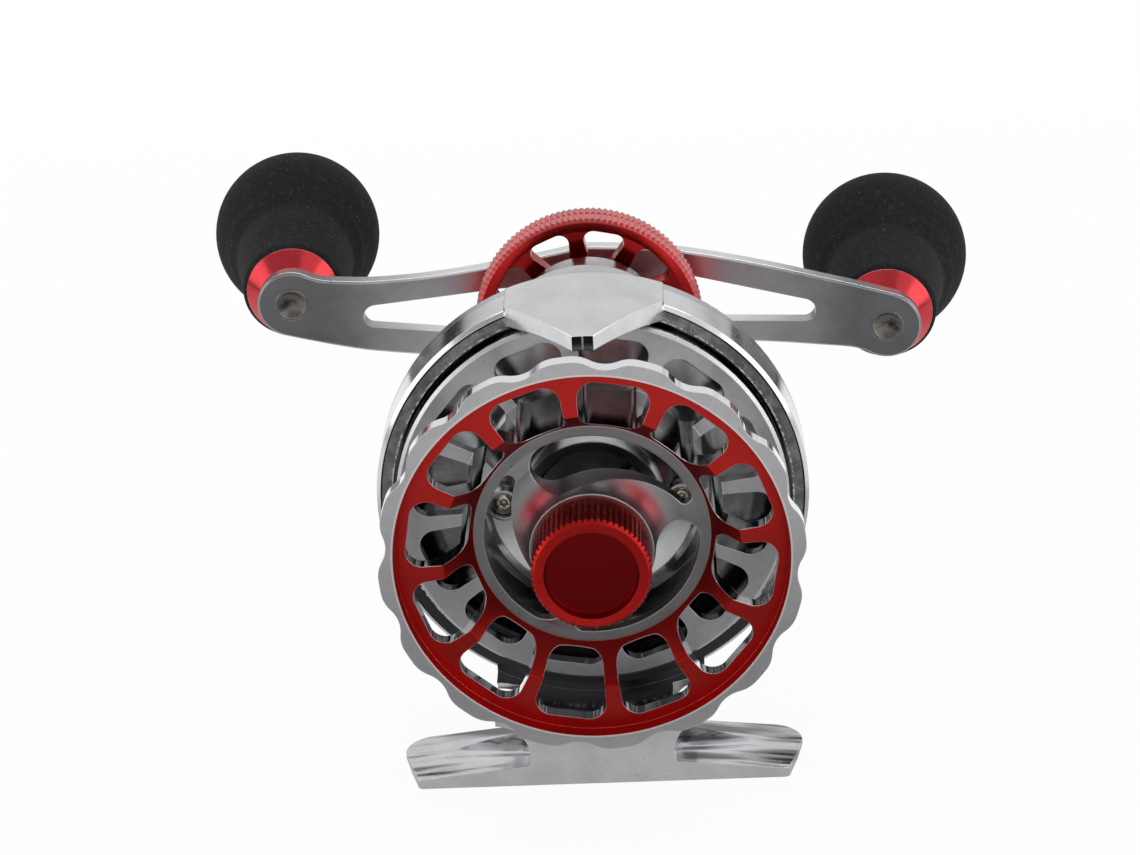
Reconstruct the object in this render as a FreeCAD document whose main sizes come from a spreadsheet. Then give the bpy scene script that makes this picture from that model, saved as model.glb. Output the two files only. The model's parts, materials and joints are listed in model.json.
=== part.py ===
import FreeCAD
import Part
import math
import os
import Sketcher

# A raft fishing reel, 65 mm across the spool, that winds 2.6 turns for each turn of its handle.
# X runs along the foot, to the right as seen from the spool side. Y runs back along the spool's
# axis, from the spool to the handle. Z is up. The origin is the middle of the foot's underside.
# Depths below are measured back from the red face of the spool unless a name says otherwise.

DRIVING_SIZES = [
    # Where the spool sits over the foot
    ("axis_height", 43.2),
    ("face_lead", 13.0),
    # Clearances
    ("running_gap", 0.05),
    ("end_gap", 0.3),
    # Spool, front flange
    ("rim_radius", 32.5),
    ("rim_rise", 2.2),
    ("rim_face", 2.4),
    ("rim_draft", 0.15),
    ("rim_width", 2.5),
    ("rim_band", 1.7),
    ("rim_root", 0.85),
    ("web_thickness", 2.3),
    ("dish_radius", 22.7),
    ("dish_depth", 6.9),
    ("back_cone_radius", 24.0),
    # Spool, arbor and rear flange
    ("arbor_radius", 20.5),
    ("arbor_start", 7.4),
    ("arbor_bore", 17.2),
    ("line_width", 17.8),
    ("rear_radius", 30.9),
    ("rear_web", 2.0),
    ("rear_chamfer", 0.5),
    ("skirt_length", 3.9),
    ("skirt_wall", 1.7),
    # Spool, milled windows and finger scallops
    ("window_count", 12),
    ("window_angle", 9.7),
    ("window_hub_margin", 0.6),
    ("window_rim_margin", 1.8),
    ("window_width", 10.9),
    ("window_corner", 2.6),
    ("window_inner_width", 9.0),
    ("window_inner_corner", 2.2),
    ("scallop_count", 16),
    ("scallop_angle", 5.7),
    ("scallop_depth", 1.3),
    ("scallop_dip", 5.0),
    ("scallop_shoulder", 5.0),
    # Hub disc that carries the spool on its shaft
    ("hub_radius", 18.3),
    ("hub_flange", 1.4),
    ("hub_spigot", 0.4),
    ("neck_radius", 9.5),
    ("neck_front", 1.2),
    ("neck_fillet", 5.2),
    ("hub_boss_radius", 6.0),
    ("hub_boss_end", 12.4),
    ("slot_count", 3),
    ("slot_outer", 16.6),
    ("slot_inner", 9.8),
    ("slot_tip", 1.0),
    ("slot_start", 115.0),
    ("slot_sweep", 93.0),
    # Red knob on the front of the spool shaft
    ("cap_radius", 9.1),
    ("cap_front", 7.5),
    ("cap_rear", 0.8),
    ("cap_recess_radius", 6.9),
    ("cap_recess_depth", 1.4),
    ("cap_lip_radius", 7.17),
    ("cap_band_radius", 8.54),
    ("cap_band_fall", 0.3),
    ("cap_floor", 1.5),
    ("cap_chamfer", 0.5),
    ("cap_teeth", 60),
    ("cap_tooth_depth", 0.45),
    ("cap_overcut", 0.05),
    # Spool shaft and its bearings
    ("shaft_radius", 3.0),
    ("shaft_collar_radius", 4.2),
    ("clip_groove", 0.5),
    ("clip_width", 0.6),
    ("clip_radius", 4.2),
    ("clip_mouth", 1.5),
    ("front_bearing_radius", 9.5),
    ("front_bearing_width", 6.0),
    ("shield_inset", 0.25),
    ("race_width", 1.8),
    ("rear_bearing_radius", 5.0),
    ("rear_bearing_width", 3.0),
    ("snap_wire", 0.5),
    ("snap_groove", 0.35),
    ("snap_gap_angle", 22.0),
    ("snap_gap_turn", 46.0),
    ("snap_lug", 1.9),
    # Frame ring, floor and the boss inside the spool
    ("flange_gap", 0.6),
    ("ring_wall", 2.6),
    ("ring_front", 20.8),
    ("ring_chamfer", 0.6),
    ("floor_front", 25.4),
    ("floor_thickness", 3.0),
    ("boss_radius", 16.2),
    ("boss_front", 20.0),
    ("boss_neck_radius", 11.2),
    ("boss_neck_front", 17.0),
    ("boss_dish", 1.0),
    ("bearing_bore_end", 25.2),
    ("shaft_passage", 4.2),
    # Screws that hold the gear cover to the frame from inside the spool
    ("screw_circle", 14.0),
    ("screw_head_radius", 1.7),
    ("screw_head_height", 1.4),
    ("screw_crown_radius", 1.0),
    ("screw_crown_height", 0.5),
    ("screw_shank_radius", 0.9),
    ("screw_grip", 3.2),
    ("well_radius", 2.6),
    ("well_rise", 1.3),
    ("well_wall", 0.5),
    # Line guard visor and the raised pad behind it
    ("pad_rise", 0.9),
    ("pad_half_width", 12.3),
    ("visor_top_tip", 33.2),
    ("visor_thickness", 2.6),
    ("visor_lip", 0.5),
    ("visor_step", 0.5),
    ("visor_tip_depth", 5.8),
    ("visor_tip_half", 1.6),
    ("visor_base_half", 12.1),
    ("visor_base_depth", 20.2),
    # Stem and foot
    ("stem_half_width", 11.5),
    ("stem_flare", 5.2),
    ("stem_flare_drop", 3.1),
    ("saddle_gap", 0.4),
    ("foot_half_length", 32.0),
    ("foot_width", 14.0),
    ("foot_root_height", 3.5),
    ("foot_tip_height", 1.3),
    ("foot_edge_height", 0.8),
    ("foot_back_corner", 4.2),
    ("foot_front_corner", 0.9),
    ("foot_tip_rake", 2.4),
    ("foot_end_bevel", 1.1),
    ("stem_rear_rise", 7.4),
    ("scoop_radius", 6.0),
    ("scoop_depth", 1.7),
    ("scoop_reach", 24.0),
    ("scoop_offset", 0.65),
    # Gears
    ("gear_module", 0.5),
    ("pressure_angle", 20),
    ("tooth_root", 1.25),
    ("main_teeth", 52),
    ("pinion_teeth", 20),
    ("gear_width", 3.6),
    ("gear_backlash", 0.12),
    ("gear_stand_off", 1.1),
    # Gear cover
    ("cover_edge", 1.9),
    ("cover_round", 1.0),
    ("crown_rise", 1.7),
    ("gear_room", 0.6),
    ("gear_boss_radius", 16.0),
    ("gear_boss_wall", 0.9),
    ("dome_radius", 13.6),
    ("dome_end", 47.8),
    ("dome_end_radius", 12.3),
    ("dome_wall", 2.0),
    ("pinion_dome_radius", 9.6),
    ("pinion_dome_end_radius", 8.0),
    ("pinion_dome_wall", 1.2),
    ("one_way_radius", 7.0),
    ("one_way_width", 4.8),
    # Drive shaft stack
    ("inner_bearing_radius", 4.5),
    ("inner_bearing_width", 2.5),
    ("inner_journal", 2.5),
    ("drive_radius", 3.0),
    ("drive_collar", 6.0),
    ("washer_radius", 11.2),
    ("washer_thickness", 1.0),
    ("plate_thickness", 0.9),
    ("sleeve_wall", 1.2),
    ("spring_radius", 5.6),
    ("spring_rise", 0.5),
    ("spring_stock", 0.35),
    ("spacer_radius", 5.0),
    # Star wheel
    ("star_radius", 18.3),
    ("star_front", 48.4),
    ("star_width", 5.8),
    ("star_band_inner", 16.0),
    ("star_band_depth", 1.1),
    ("star_web_setback", 3.3),
    ("star_web", 1.7),
    ("star_hub_radius", 6.6),
    ("star_hub_setback", 0.9),
    ("star_groove", 0.5),
    ("star_edge", 0.4),
    ("star_windows", 10),
    ("star_window_angle", 12.0),
    ("star_window_width", 6.6),
    ("star_window_inner", 8.6),
    ("star_window_nose", 1.5),
    ("star_window_corner", 1.6),
    # Handle arm, a bent strip, with reaches measured out from the handle's axis
    ("arm_front", 58.4),
    ("arm_thickness", 2.8),
    ("arm_rest_angle", 4.5),
    ("arm_flat", 10.9),
    ("arm_bend_radius", 20.0),
    ("arm_slope", 10.5),
    ("arm_crank_reach", 35.6),
    ("knob_splay", 3.5),
    ("arm_pivot", 49.1),
    ("arm_end_radius", 5.6),
    ("arm_hub_radius", 10.0),
    ("arm_crown_radius", 205.0),
    ("arm_waist_reach", 39.0),
    ("arm_waist", 4.15),
    ("arm_fillet", 10.0),
    ("arm_slot_reach", 35.3),
    ("arm_slot_rise", 1.87),
    ("arm_slot_end", 1.95),
    ("arm_slot_near", 14.2),
    ("arm_slot_near_top", 4.2),
    ("arm_slot_near_bottom", 0.4),
    ("arm_chamfer", 0.3),
    # Handle nut
    ("nut_across", 10.0),
    ("nut_height", 3.1),
    ("nut_screw_head", 3.3),
    ("nut_screw_crown", 2.6),
    ("nut_screw_height", 1.3),
    ("nut_screw_edge", 0.65),
    ("nut_screw_shank", 1.25),
    ("nut_screw_depth", 6.0),
    # Knobs, with lengths measured back from the arm's front face
    ("post_radius", 2.0),
    ("post_head_radius", 2.7),
    ("post_head_rise", 0.1),
    ("post_dish_radius", 2.35),
    ("post_dish_depth", 0.9),
    ("post_length", 37.0),
    ("collar_gap", 0.4),
    ("collar_small", 5.2),
    ("collar_large", 7.6),
    ("collar_end", 6.2),
    ("core_radius", 4.4),
    ("core_end", 39.6),
    ("core_bore", 2.6),
    ("knob_bearing_radius", 3.5),
    ("knob_bearing_width", 2.5),
    ("knob_bearing_rear", 34.3),
    ("knob_screw_head", 2.9),
    ("knob_screw_crown", 2.0),
    ("knob_screw_height", 1.5),
    ("knob_screw_edge", 0.9),
    ("knob_screw_shank", 1.0),
    ("knob_screw_depth", 6.0),
    ("grip_mouth", 8.3),
    ("grip_neck", 10.2),
    ("grip_radius", 14.2),
    ("grip_centre", 34.0),
    ("grip_room_end", 41.2),
]

document = FreeCAD.newDocument("raft_fishing_reel")
sheet = document.addObject("Spreadsheet::Sheet", "Sizes")
for row, (alias, number) in enumerate(DRIVING_SIZES, start=1):
    sheet.set("A%d" % row, alias)
    sheet.set("B%d" % row, str(number))
    sheet.setAlias("B%d" % row, alias)
document.recompute()


class Size:
    """A number that remembers the sheet formula it came from."""

    def __init__(self, number, text):
        self.number = float(number)
        self.text = text

    def __add__(self, other):
        other = as_size(other)
        return Size(self.number + other.number, "(%s + %s)" % (self.text, other.text))

    def __sub__(self, other):
        other = as_size(other)
        return Size(self.number - other.number, "(%s - %s)" % (self.text, other.text))

    def __mul__(self, other):
        other = as_size(other)
        return Size(self.number * other.number, "(%s * %s)" % (self.text, other.text))

    def __truediv__(self, other):
        other = as_size(other)
        return Size(self.number / other.number, "(%s / %s)" % (self.text, other.text))

    def __neg__(self):
        return Size(-self.number, "(0 - %s)" % self.text)


def as_size(value):
    return value if isinstance(value, Size) else Size(value, repr(value))


def root(value):
    return Size(math.sqrt(value.number), "sqrt(%s)" % value.text)


def sine(angle):
    return Size(math.sin(math.radians(angle.number)), "sin(%s * 1 deg)" % angle.text)


def cosine(angle):
    return Size(math.cos(math.radians(angle.number)), "cos(%s * 1 deg)" % angle.text)


class Sheet:
    """The driving sizes by name."""

    def __getattr__(self, alias):
        return Size(sheet.get(alias), "Sizes." + alias)


s = Sheet()
ZERO = as_size(0)
TOUCHING = 1e-4
SCREW_ANGLES = (0, 180, 270)
gear_offset = s.gear_module * (s.main_teeth + s.pinion_teeth) / 2
lip_radius = s.rim_radius - s.rim_face
face_radius = lip_radius - s.rim_draft
rim_back = s.rim_width - s.rim_rise
rear_front = rim_back + s.line_width
rear_back = rear_front + s.rear_web
bearing_front = s.bearing_bore_end - s.front_bearing_width
snap_middle = bearing_front - s.snap_wire
cap_recess = s.cap_recess_depth - s.cap_front
cap_seat = cap_recess + s.cap_floor
ring_bore = s.rear_radius + s.flange_gap
ring_radius = ring_bore + s.ring_wall
pad_radius = ring_radius + s.pad_rise
floor_back = s.floor_front + s.floor_thickness
gear_start = floor_back + s.gear_stand_off
gear_end = gear_start + s.gear_width
gear_room_end = gear_end + s.end_gap
washer_end = gear_end + s.washer_thickness
plate_end = washer_end + s.plate_thickness
rear_bearing_start = gear_room_end + s.end_gap
rear_bearing_end = rear_bearing_start + s.rear_bearing_width
clip_start = rear_bearing_end + s.end_gap
shaft_rear = clip_start + s.clip_width * 2
screw_start = s.boss_front + s.boss_dish - s.screw_head_height
screw_end = floor_back + s.screw_grip
one_way_end = s.dome_end - s.dome_wall
star_back = s.star_front + s.star_width
star_hub_front = s.star_front + s.star_hub_setback
spring_start = star_hub_front - s.end_gap - s.spring_rise * 2
arm_back = s.arm_front + s.arm_thickness
drive_rear = arm_back + s.nut_height

sub_parts = []


def on_axis(up=ZERO, turn=ZERO):
    """The placing of a piece on an axis at a height over the spool's, turned about that axis."""
    return "placement(vector(0; %s; %s); rotation(vector(0; 1; 0); %s * 1 deg))" % (
        (-s.face_lead).text, (s.axis_height + up).text, turn.text)


def sub_part(piece, label, spot=None):
    """Name a finished piece and put it in its place on the reel, on the spool's axis if not told."""
    piece.Label = label
    piece.setExpression("Placement", spot or on_axis())
    sub_parts.append(piece)
    return piece


def origin_feature(body, role):
    return next(feature for feature in body.Origin.OriginFeatures if feature.Role == role)


def add_sketch(body, role, name, depth=None):
    """A sketch on one of the body's own planes, moved along the plane's normal by depth."""
    sketch = body.newObject("Sketcher::SketchObject", name)
    sketch.AttachmentSupport = (origin_feature(body, role), [""])
    sketch.MapMode = "FlatFace"
    if depth is not None:
        sketch.setExpression("AttachmentOffset.Base.z", depth.text)
    return sketch


def fix_point(sketch, element, end, x, y, name):
    """Hold a sketch point at sizes taken from the sheet."""
    for kind, size in (("DistanceX", x), ("DistanceY", y)):
        index = sketch.addConstraint(Sketcher.Constraint(kind, -1, 1, element, end, size.number))
        sketch.renameConstraint(index, name + kind[-1])
        sketch.setExpression("Constraints." + name + kind[-1], size.text)


def fix_radius(sketch, element, radius, name):
    index = sketch.addConstraint(Sketcher.Constraint("Radius", element, radius.number))
    sketch.renameConstraint(index, name)
    sketch.setExpression("Constraints." + name, radius.text)


def arc_between(start, end, radius, left):
    """The shorter arc from start to end, with its centre to the left or right of the way there."""
    middle = (start + end) * 0.5
    way = end - start
    side = FreeCAD.Vector(-way.y, way.x, 0).normalize()
    if not left:
        side = side * -1
    centre = middle + side * math.sqrt(max(radius ** 2 - (way.Length / 2) ** 2, 0))
    first, last = (start, end) if left else (end, start)
    from_angle = math.atan2(first.y - centre.y, first.x - centre.x)
    to_angle = math.atan2(last.y - centre.y, last.x - centre.x)
    while to_angle <= from_angle:
        to_angle += 2 * math.pi
    circle = Part.Circle(centre, FreeCAD.Vector(0, 0, 1), radius)
    return Part.ArcOfCircle(circle, from_angle, to_angle)


def draw_loop(sketch, corners):
    """Draw a closed outline. A corner is (x, y), or (x, y, radius, left) where an arc starts."""
    count = len(corners)
    first_element = sketch.GeometryCount
    ends = []
    for number, corner in enumerate(corners):
        following = corners[(number + 1) % count]
        start = FreeCAD.Vector(corner[0].number, corner[1].number, 0)
        end = FreeCAD.Vector(following[0].number, following[1].number, 0)
        if len(corner) == 2:
            sketch.addGeometry(Part.LineSegment(start, end))
            ends.append((1, 2))
        else:
            sketch.addGeometry(arc_between(start, end, corner[2].number, corner[3]))
            ends.append((1, 2) if corner[3] else (2, 1))
    for number in range(count):
        following = (number + 1) % count
        joined = Sketcher.Constraint("Coincident", first_element + number, ends[number][1],
                                     first_element + following, ends[following][0])
        sketch.addConstraint(joined)
    for number, corner in enumerate(corners):
        element = first_element + number
        name = "corner%d" % element
        fix_point(sketch, element, ends[number][0], corner[0], corner[1], name)
        if len(corner) == 4:
            fix_radius(sketch, element, corner[2], name + "radius")


def draw_circle(sketch, x, y, radius):
    element = sketch.GeometryCount
    centre = FreeCAD.Vector(x.number, y.number, 0)
    sketch.addGeometry(Part.Circle(centre, FreeCAD.Vector(0, 0, 1), radius.number))
    fix_point(sketch, element, 3, x, y, "centre%d" % element)
    fix_radius(sketch, element, radius, "radius%d" % element)


def rounded_loop(circles):
    """The outline drawn tight round circles, given anticlockwise as (x, y, radius)."""
    corners = []
    count = len(circles)
    tangents = []
    for number in range(count):
        x, y, radius = circles[number]
        next_x, next_y, next_radius = circles[(number + 1) % count]
        way_x = next_x - x
        way_y = next_y - y
        length = root(way_x * way_x + way_y * way_y)
        lean = (radius - next_radius) / length
        square = root(as_size(1) - lean * lean)
        normal_x = (way_x * lean + way_y * square) / length
        normal_y = (way_y * lean - way_x * square) / length
        tangents.append((normal_x, normal_y))
    for number in range(count):
        x, y, radius = circles[number]
        arriving = tangents[number - 1]
        leaving = tangents[number]
        corners.append((x + radius * arriving[0], y + radius * arriving[1], radius, True))
        corners.append((x + radius * leaving[0], y + radius * leaving[1]))
    return corners


def new_body(name):
    return document.addObject("PartDesign::Body", name)


def revolve(body, sketch, name="Turned"):
    feature = body.newObject("PartDesign::Revolution", name)
    feature.Profile = sketch
    feature.ReferenceAxis = (sketch, ["V_Axis"])
    feature.Angle = 360
    return feature


def pad_back(body, sketch, length, name="Block"):
    """Pad a front-view sketch back along Y."""
    feature = body.newObject("PartDesign::Pad", name)
    feature.Profile = sketch
    feature.Reversed = True
    feature.setExpression("Length", length.text)
    return feature


def cut_back(body, sketch, length, name="Cut"):
    """Pocket a front-view sketch back along Y, for a length or right through both ways."""
    feature = body.newObject("PartDesign::Pocket", name)
    feature.Profile = sketch
    if length is None:
        feature.Type = "ThroughAll"
        feature.SideType = "Symmetric"
    else:
        feature.setExpression("Length", length.text)
    return feature


def ring_of(body, feature, count, name="Pattern"):
    pattern = body.newObject("PartDesign::PolarPattern", name)
    pattern.Originals = [feature]
    pattern.Axis = (origin_feature(body, "Y_Axis"), [""])
    pattern.Angle = 360
    pattern.setExpression("Occurrences", count.text)
    body.Tip = pattern
    return pattern


def turned(name, corners):
    """A body turned about its own Y axis from a profile of (radius, depth) corners."""
    body = new_body(name)
    sketch = add_sketch(body, "XY_Plane", name + "_profile")
    draw_loop(sketch, corners)
    revolve(body, sketch)
    return body


def tube(name, inner, outer, start, end):
    return turned(name, [(inner, start), (outer, start), (outer, end), (inner, end)])


def shielded_bearing(name, bore, outer, start, end):
    """A ball bearing as one ring, with its shields set in between the two races."""
    inner_race = bore + s.race_width
    outer_race = outer - s.race_width
    return turned(name, [
        (bore, start),
        (inner_race, start),
        (inner_race, start + s.shield_inset),
        (outer_race, start + s.shield_inset),
        (outer_race, start),
        (outer, start),
        (outer, end),
        (outer_race, end),
        (outer_race, end - s.shield_inset),
        (inner_race, end - s.shield_inset),
        (inner_race, end),
        (bore, end),
    ])


def outer_corners(outer, width, corner):
    """The two rounded corners of a window that lie furthest from the axis."""
    half = width / 2 - corner
    reach = outer - corner
    return [(half, reach, corner), (-half, reach, corner)]


def turned_circles(spots, turn):
    """The circles that bound a milled window, on a line turned clockwise from straight up."""
    circles = []
    for x, y, radius in spots:
        turned_x = x * cosine(turn) + y * sine(turn)
        turned_y = y * cosine(turn) - x * sine(turn)
        circles.append((turned_x, turned_y, radius))
    return circles


def gear(name, teeth, start, end, bore, first_share):
    """A spur gear whose flanks run through the true involute at root, pitch line and tip."""
    module = s.gear_module.number
    count = int(teeth.number)
    pressure = math.radians(s.pressure_angle.number)
    pitch_radius = module * count / 2
    base_radius = pitch_radius * math.cos(pressure)
    root_radius = pitch_radius - s.tooth_root.number * module
    tip_radius = pitch_radius + module
    tooth_half = math.pi * module / 4 - s.gear_backlash.number / 4
    pitch_angle = 2 * math.pi / count
    flank_radii = [root_radius, max(base_radius, root_radius), pitch_radius, tip_radius]
    flank = []
    for radius in flank_radii:
        rolled = math.acos(min(base_radius / radius, 1))
        lean = math.tan(pressure) - pressure - math.tan(rolled) + rolled
        flank.append((radius, tooth_half / pitch_radius + lean))
    points = []
    for number in range(count):
        middle = (number + first_share) * pitch_angle
        for radius, half in flank:
            points.append((radius, middle - half))
        for radius, half in reversed(flank):
            points.append((radius, middle + half))
    corners = []
    for radius, angle in points:
        spot = FreeCAD.Vector(radius * math.sin(angle), start, radius * math.cos(angle))
        if not corners or (spot - corners[-1]).Length > TOUCHING:
            corners.append(spot)
    corners.append(corners[0])
    blank = Part.Face(Part.Wire(Part.makePolygon(corners))).extrude(FreeCAD.Vector(0, end - start, 0))
    hole = Part.makeCylinder(bore, end - start, FreeCAD.Vector(0, start, 0), FreeCAD.Vector(0, 1, 0))
    piece = document.addObject("Part::Feature", name)
    piece.Shape = blank.cut(hole)
    return piece


def build_spool():
    body = new_body("SpoolBody")
    profile = add_sketch(body, "XY_Plane", "SpoolProfile")
    seat = s.dish_depth + s.hub_flange
    draw_loop(profile, [
        (s.arbor_bore, seat),
        (s.hub_radius, seat),
        (s.hub_radius, s.dish_depth),
        (s.dish_radius, ZERO),
        (face_radius, ZERO),
        (lip_radius, -s.rim_rise),
        (s.rim_radius, -s.rim_rise),
        (s.rim_radius, rim_back),
        (s.rim_radius - s.rim_band, rim_back),
        (s.rim_radius - s.rim_band - s.rim_root, s.web_thickness),
        (s.back_cone_radius, s.web_thickness),
        (s.arbor_radius, s.arbor_start),
        (s.arbor_radius, rear_front),
        (s.rear_radius - s.rear_chamfer, rear_front),
        (s.rear_radius, rear_front + s.rear_chamfer),
        (s.rear_radius, rear_front + s.skirt_length),
        (s.rear_radius - s.skirt_wall, rear_front + s.skirt_length),
        (s.rear_radius - s.skirt_wall, rear_back),
        (s.arbor_bore, rear_back),
    ])
    revolve(body, profile)
    window = add_sketch(body, "XZ_Plane", "Window")
    inner_half = s.window_inner_width / 2 - s.window_inner_corner
    inner_reach = s.hub_radius + s.window_hub_margin + s.window_inner_corner
    corners = [
        (-inner_half, inner_reach, s.window_inner_corner),
        (inner_half, inner_reach, s.window_inner_corner),
    ] + outer_corners(face_radius - s.window_rim_margin, s.window_width, s.window_corner)
    draw_loop(window, rounded_loop(turned_circles(corners, s.window_angle)))
    ring_of(body, cut_back(body, window, None, "WindowCut"), s.window_count, "Windows")
    scallop = add_sketch(body, "XZ_Plane", "Scallop", depth=s.rim_rise + s.rim_band)
    draw_loop(scallop, scallop_loop())
    scallop_cut = cut_back(body, scallop, s.rim_band * 2 + s.rim_width, "ScallopCut")
    ring_of(body, scallop_cut, s.scallop_count, "Scallops")
    return sub_part(body, "spool")


def scallop_loop():
    """The bite between two crests of the wavy rim: a dip with a rounded shoulder at each side."""
    dip_centre = s.rim_radius - s.scallop_depth + s.scallop_dip
    shoulder_centre = s.rim_radius - s.scallop_shoulder
    joined = s.scallop_shoulder + s.scallop_dip
    cos_turn = ((dip_centre * dip_centre + shoulder_centre * shoulder_centre - joined * joined)
                / (dip_centre * shoulder_centre * 2))
    sin_turn = root(as_size(1) - cos_turn * cos_turn)
    share = s.scallop_shoulder / joined
    outside = s.rim_radius + s.scallop_depth
    points = []
    for side in (1, -1):
        centre_x = shoulder_centre * sin_turn * side
        centre_y = shoulder_centre * cos_turn
        touch_x = s.rim_radius * sin_turn * side
        touch_y = s.rim_radius * cos_turn
        meet_x = centre_x - centre_x * share
        meet_y = centre_y + (dip_centre - centre_y) * share
        far_x = outside * sin_turn * side
        far_y = outside * cos_turn
        points.append(((touch_x, touch_y), (meet_x, meet_y), (far_x, far_y)))
    right, left = points
    turn = s.scallop_angle
    loop = [
        (right[2][0], right[2][1]),
        (left[2][0], left[2][1]),
        (left[0][0], left[0][1], s.scallop_shoulder, False),
        (left[1][0], left[1][1], s.scallop_dip, True),
        (right[1][0], right[1][1], s.scallop_shoulder, False),
        (right[0][0], right[0][1]),
    ]
    spun = []
    for corner in loop:
        x = corner[0] * cosine(turn) + corner[1] * sine(turn)
        y = corner[1] * cosine(turn) - corner[0] * sine(turn)
        spun.append((x, y) + tuple(corner[2:]))
    return spun


def build_hub():
    seat = s.dish_depth + s.hub_flange
    back = seat + s.hub_spigot
    body = turned("HubBody", [
        (s.shaft_radius, s.neck_front),
        (s.neck_radius, s.neck_front, s.neck_fillet, False),
        (s.neck_radius + s.neck_fillet, s.neck_front + s.neck_fillet),
        (s.slot_outer, s.dish_depth),
        (s.hub_radius, s.dish_depth),
        (s.hub_radius, seat),
        (s.arbor_bore, seat),
        (s.arbor_bore, back),
        (s.hub_boss_radius, back),
        (s.hub_boss_radius, s.hub_boss_end),
        (s.shaft_radius, s.hub_boss_end),
    ])
    wide = (s.slot_outer - s.slot_inner) / 2
    wide_centre = s.slot_inner + wide
    tip_centre = s.slot_outer - s.slot_tip
    end_turn = s.slot_start - s.slot_sweep
    reach = s.slot_inner + s.slot_tip
    shift = ((tip_centre * tip_centre - reach * reach)
             / (tip_centre * cosine(s.slot_sweep) * 2 - reach * 2))
    inner_radius = s.slot_inner - shift
    start_x = cosine(s.slot_start)
    start_y = sine(s.slot_start)
    end_x = cosine(end_turn)
    end_y = sine(end_turn)
    tip_way_x = (tip_centre * end_x - shift * start_x) / (inner_radius + s.slot_tip)
    tip_way_y = (tip_centre * end_y - shift * start_y) / (inner_radius + s.slot_tip)
    round_x = wide_centre * start_x - wide * start_y
    round_y = wide_centre * start_y + wide * start_x
    nose_x = tip_centre * end_x + s.slot_tip * end_y
    nose_y = tip_centre * end_y - s.slot_tip * end_x
    slot = add_sketch(body, "XZ_Plane", "Slot")
    draw_loop(slot, [
        (s.slot_outer * start_x, s.slot_outer * start_y, wide, True),
        (round_x, round_y, wide, True),
        (s.slot_inner * start_x, s.slot_inner * start_y, inner_radius, False),
        (shift * start_x + inner_radius * tip_way_x, shift * start_y + inner_radius * tip_way_y,
         s.slot_tip, True),
        (nose_x, nose_y, s.slot_tip, True),
        (s.slot_outer * end_x, s.slot_outer * end_y, s.slot_outer, True),
    ])
    ring_of(body, cut_back(body, slot, None, "SlotCut"), s.slot_count, "Slots")
    return sub_part(body, "spool_hub")


def build_spool_knob():
    bore = s.shaft_radius + s.running_gap
    band = s.cap_band_fall - s.cap_front
    body = turned("KnobBody", [
        (ZERO, cap_recess),
        (s.cap_recess_radius, cap_recess),
        (s.cap_lip_radius, -s.cap_front),
        (s.cap_band_radius, band),
        (s.cap_radius, band + s.cap_chamfer),
        (s.cap_radius, s.cap_rear - s.cap_chamfer),
        (s.cap_radius - s.cap_chamfer, s.cap_rear),
        (bore, s.cap_rear),
        (bore, cap_seat),
        (ZERO, cap_seat),
    ])
    groove = add_sketch(body, "XZ_Plane", "Groove", depth=s.cap_front + s.cap_chamfer)
    half = s.cap_radius * sine(as_size(90) / s.cap_teeth)
    draw_loop(groove, [
        (ZERO, s.cap_radius - s.cap_tooth_depth),
        (half, s.cap_radius + s.cap_overcut),
        (-half, s.cap_radius + s.cap_overcut),
    ])
    length = s.cap_front + s.cap_rear + s.cap_chamfer * 2
    ring_of(body, cut_back(body, groove, length, "GrooveCut"), s.cap_teeth, "Knurl")
    return sub_part(body, "spool_knob")


def build_spool_shaft():
    """The spool's shaft, with the clip that holds it in behind its rear bearing."""
    body = turned("SpoolShaftBody", [
        (ZERO, cap_seat + s.end_gap),
        (s.shaft_radius, cap_seat + s.end_gap),
        (s.shaft_radius, s.hub_boss_end),
        (s.shaft_collar_radius, s.hub_boss_end),
        (s.shaft_collar_radius, bearing_front - s.end_gap),
        (s.shaft_radius, bearing_front - s.end_gap),
        (s.shaft_radius, clip_start),
        (s.shaft_radius - s.clip_groove, clip_start),
        (s.shaft_radius - s.clip_groove, clip_start + s.clip_width),
        (s.shaft_radius, clip_start + s.clip_width),
        (s.shaft_radius, shaft_rear),
        (ZERO, shaft_rear),
    ])
    sub_part(body, "spool_shaft")
    clip = tube("ClipBody", s.shaft_radius - s.clip_groove, s.clip_radius, clip_start,
                clip_start + s.clip_width)
    mouth = add_sketch(clip, "XZ_Plane", "Mouth")
    beyond = s.clip_radius + s.clip_width
    draw_loop(mouth, [
        (-s.clip_mouth, ZERO),
        (-s.clip_mouth, -beyond),
        (s.clip_mouth, -beyond),
        (s.clip_mouth, ZERO),
    ])
    cut_back(clip, mouth, None, "MouthCut")
    sub_part(clip, "shaft_clip")


def build_gears():
    """The pinion has a gap at its top, where the wheel above it has a tooth at its foot."""
    start = gear_start.number
    end = gear_end.number
    pinion = gear("Pinion", s.pinion_teeth, start, end, s.shaft_radius.number, 0.5)
    sub_part(pinion, "pinion")
    wheel = gear("MainGear", s.main_teeth, start, end, s.drive_radius.number, 0.0)
    sub_part(wheel, "main_gear", on_axis(gear_offset))


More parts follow.
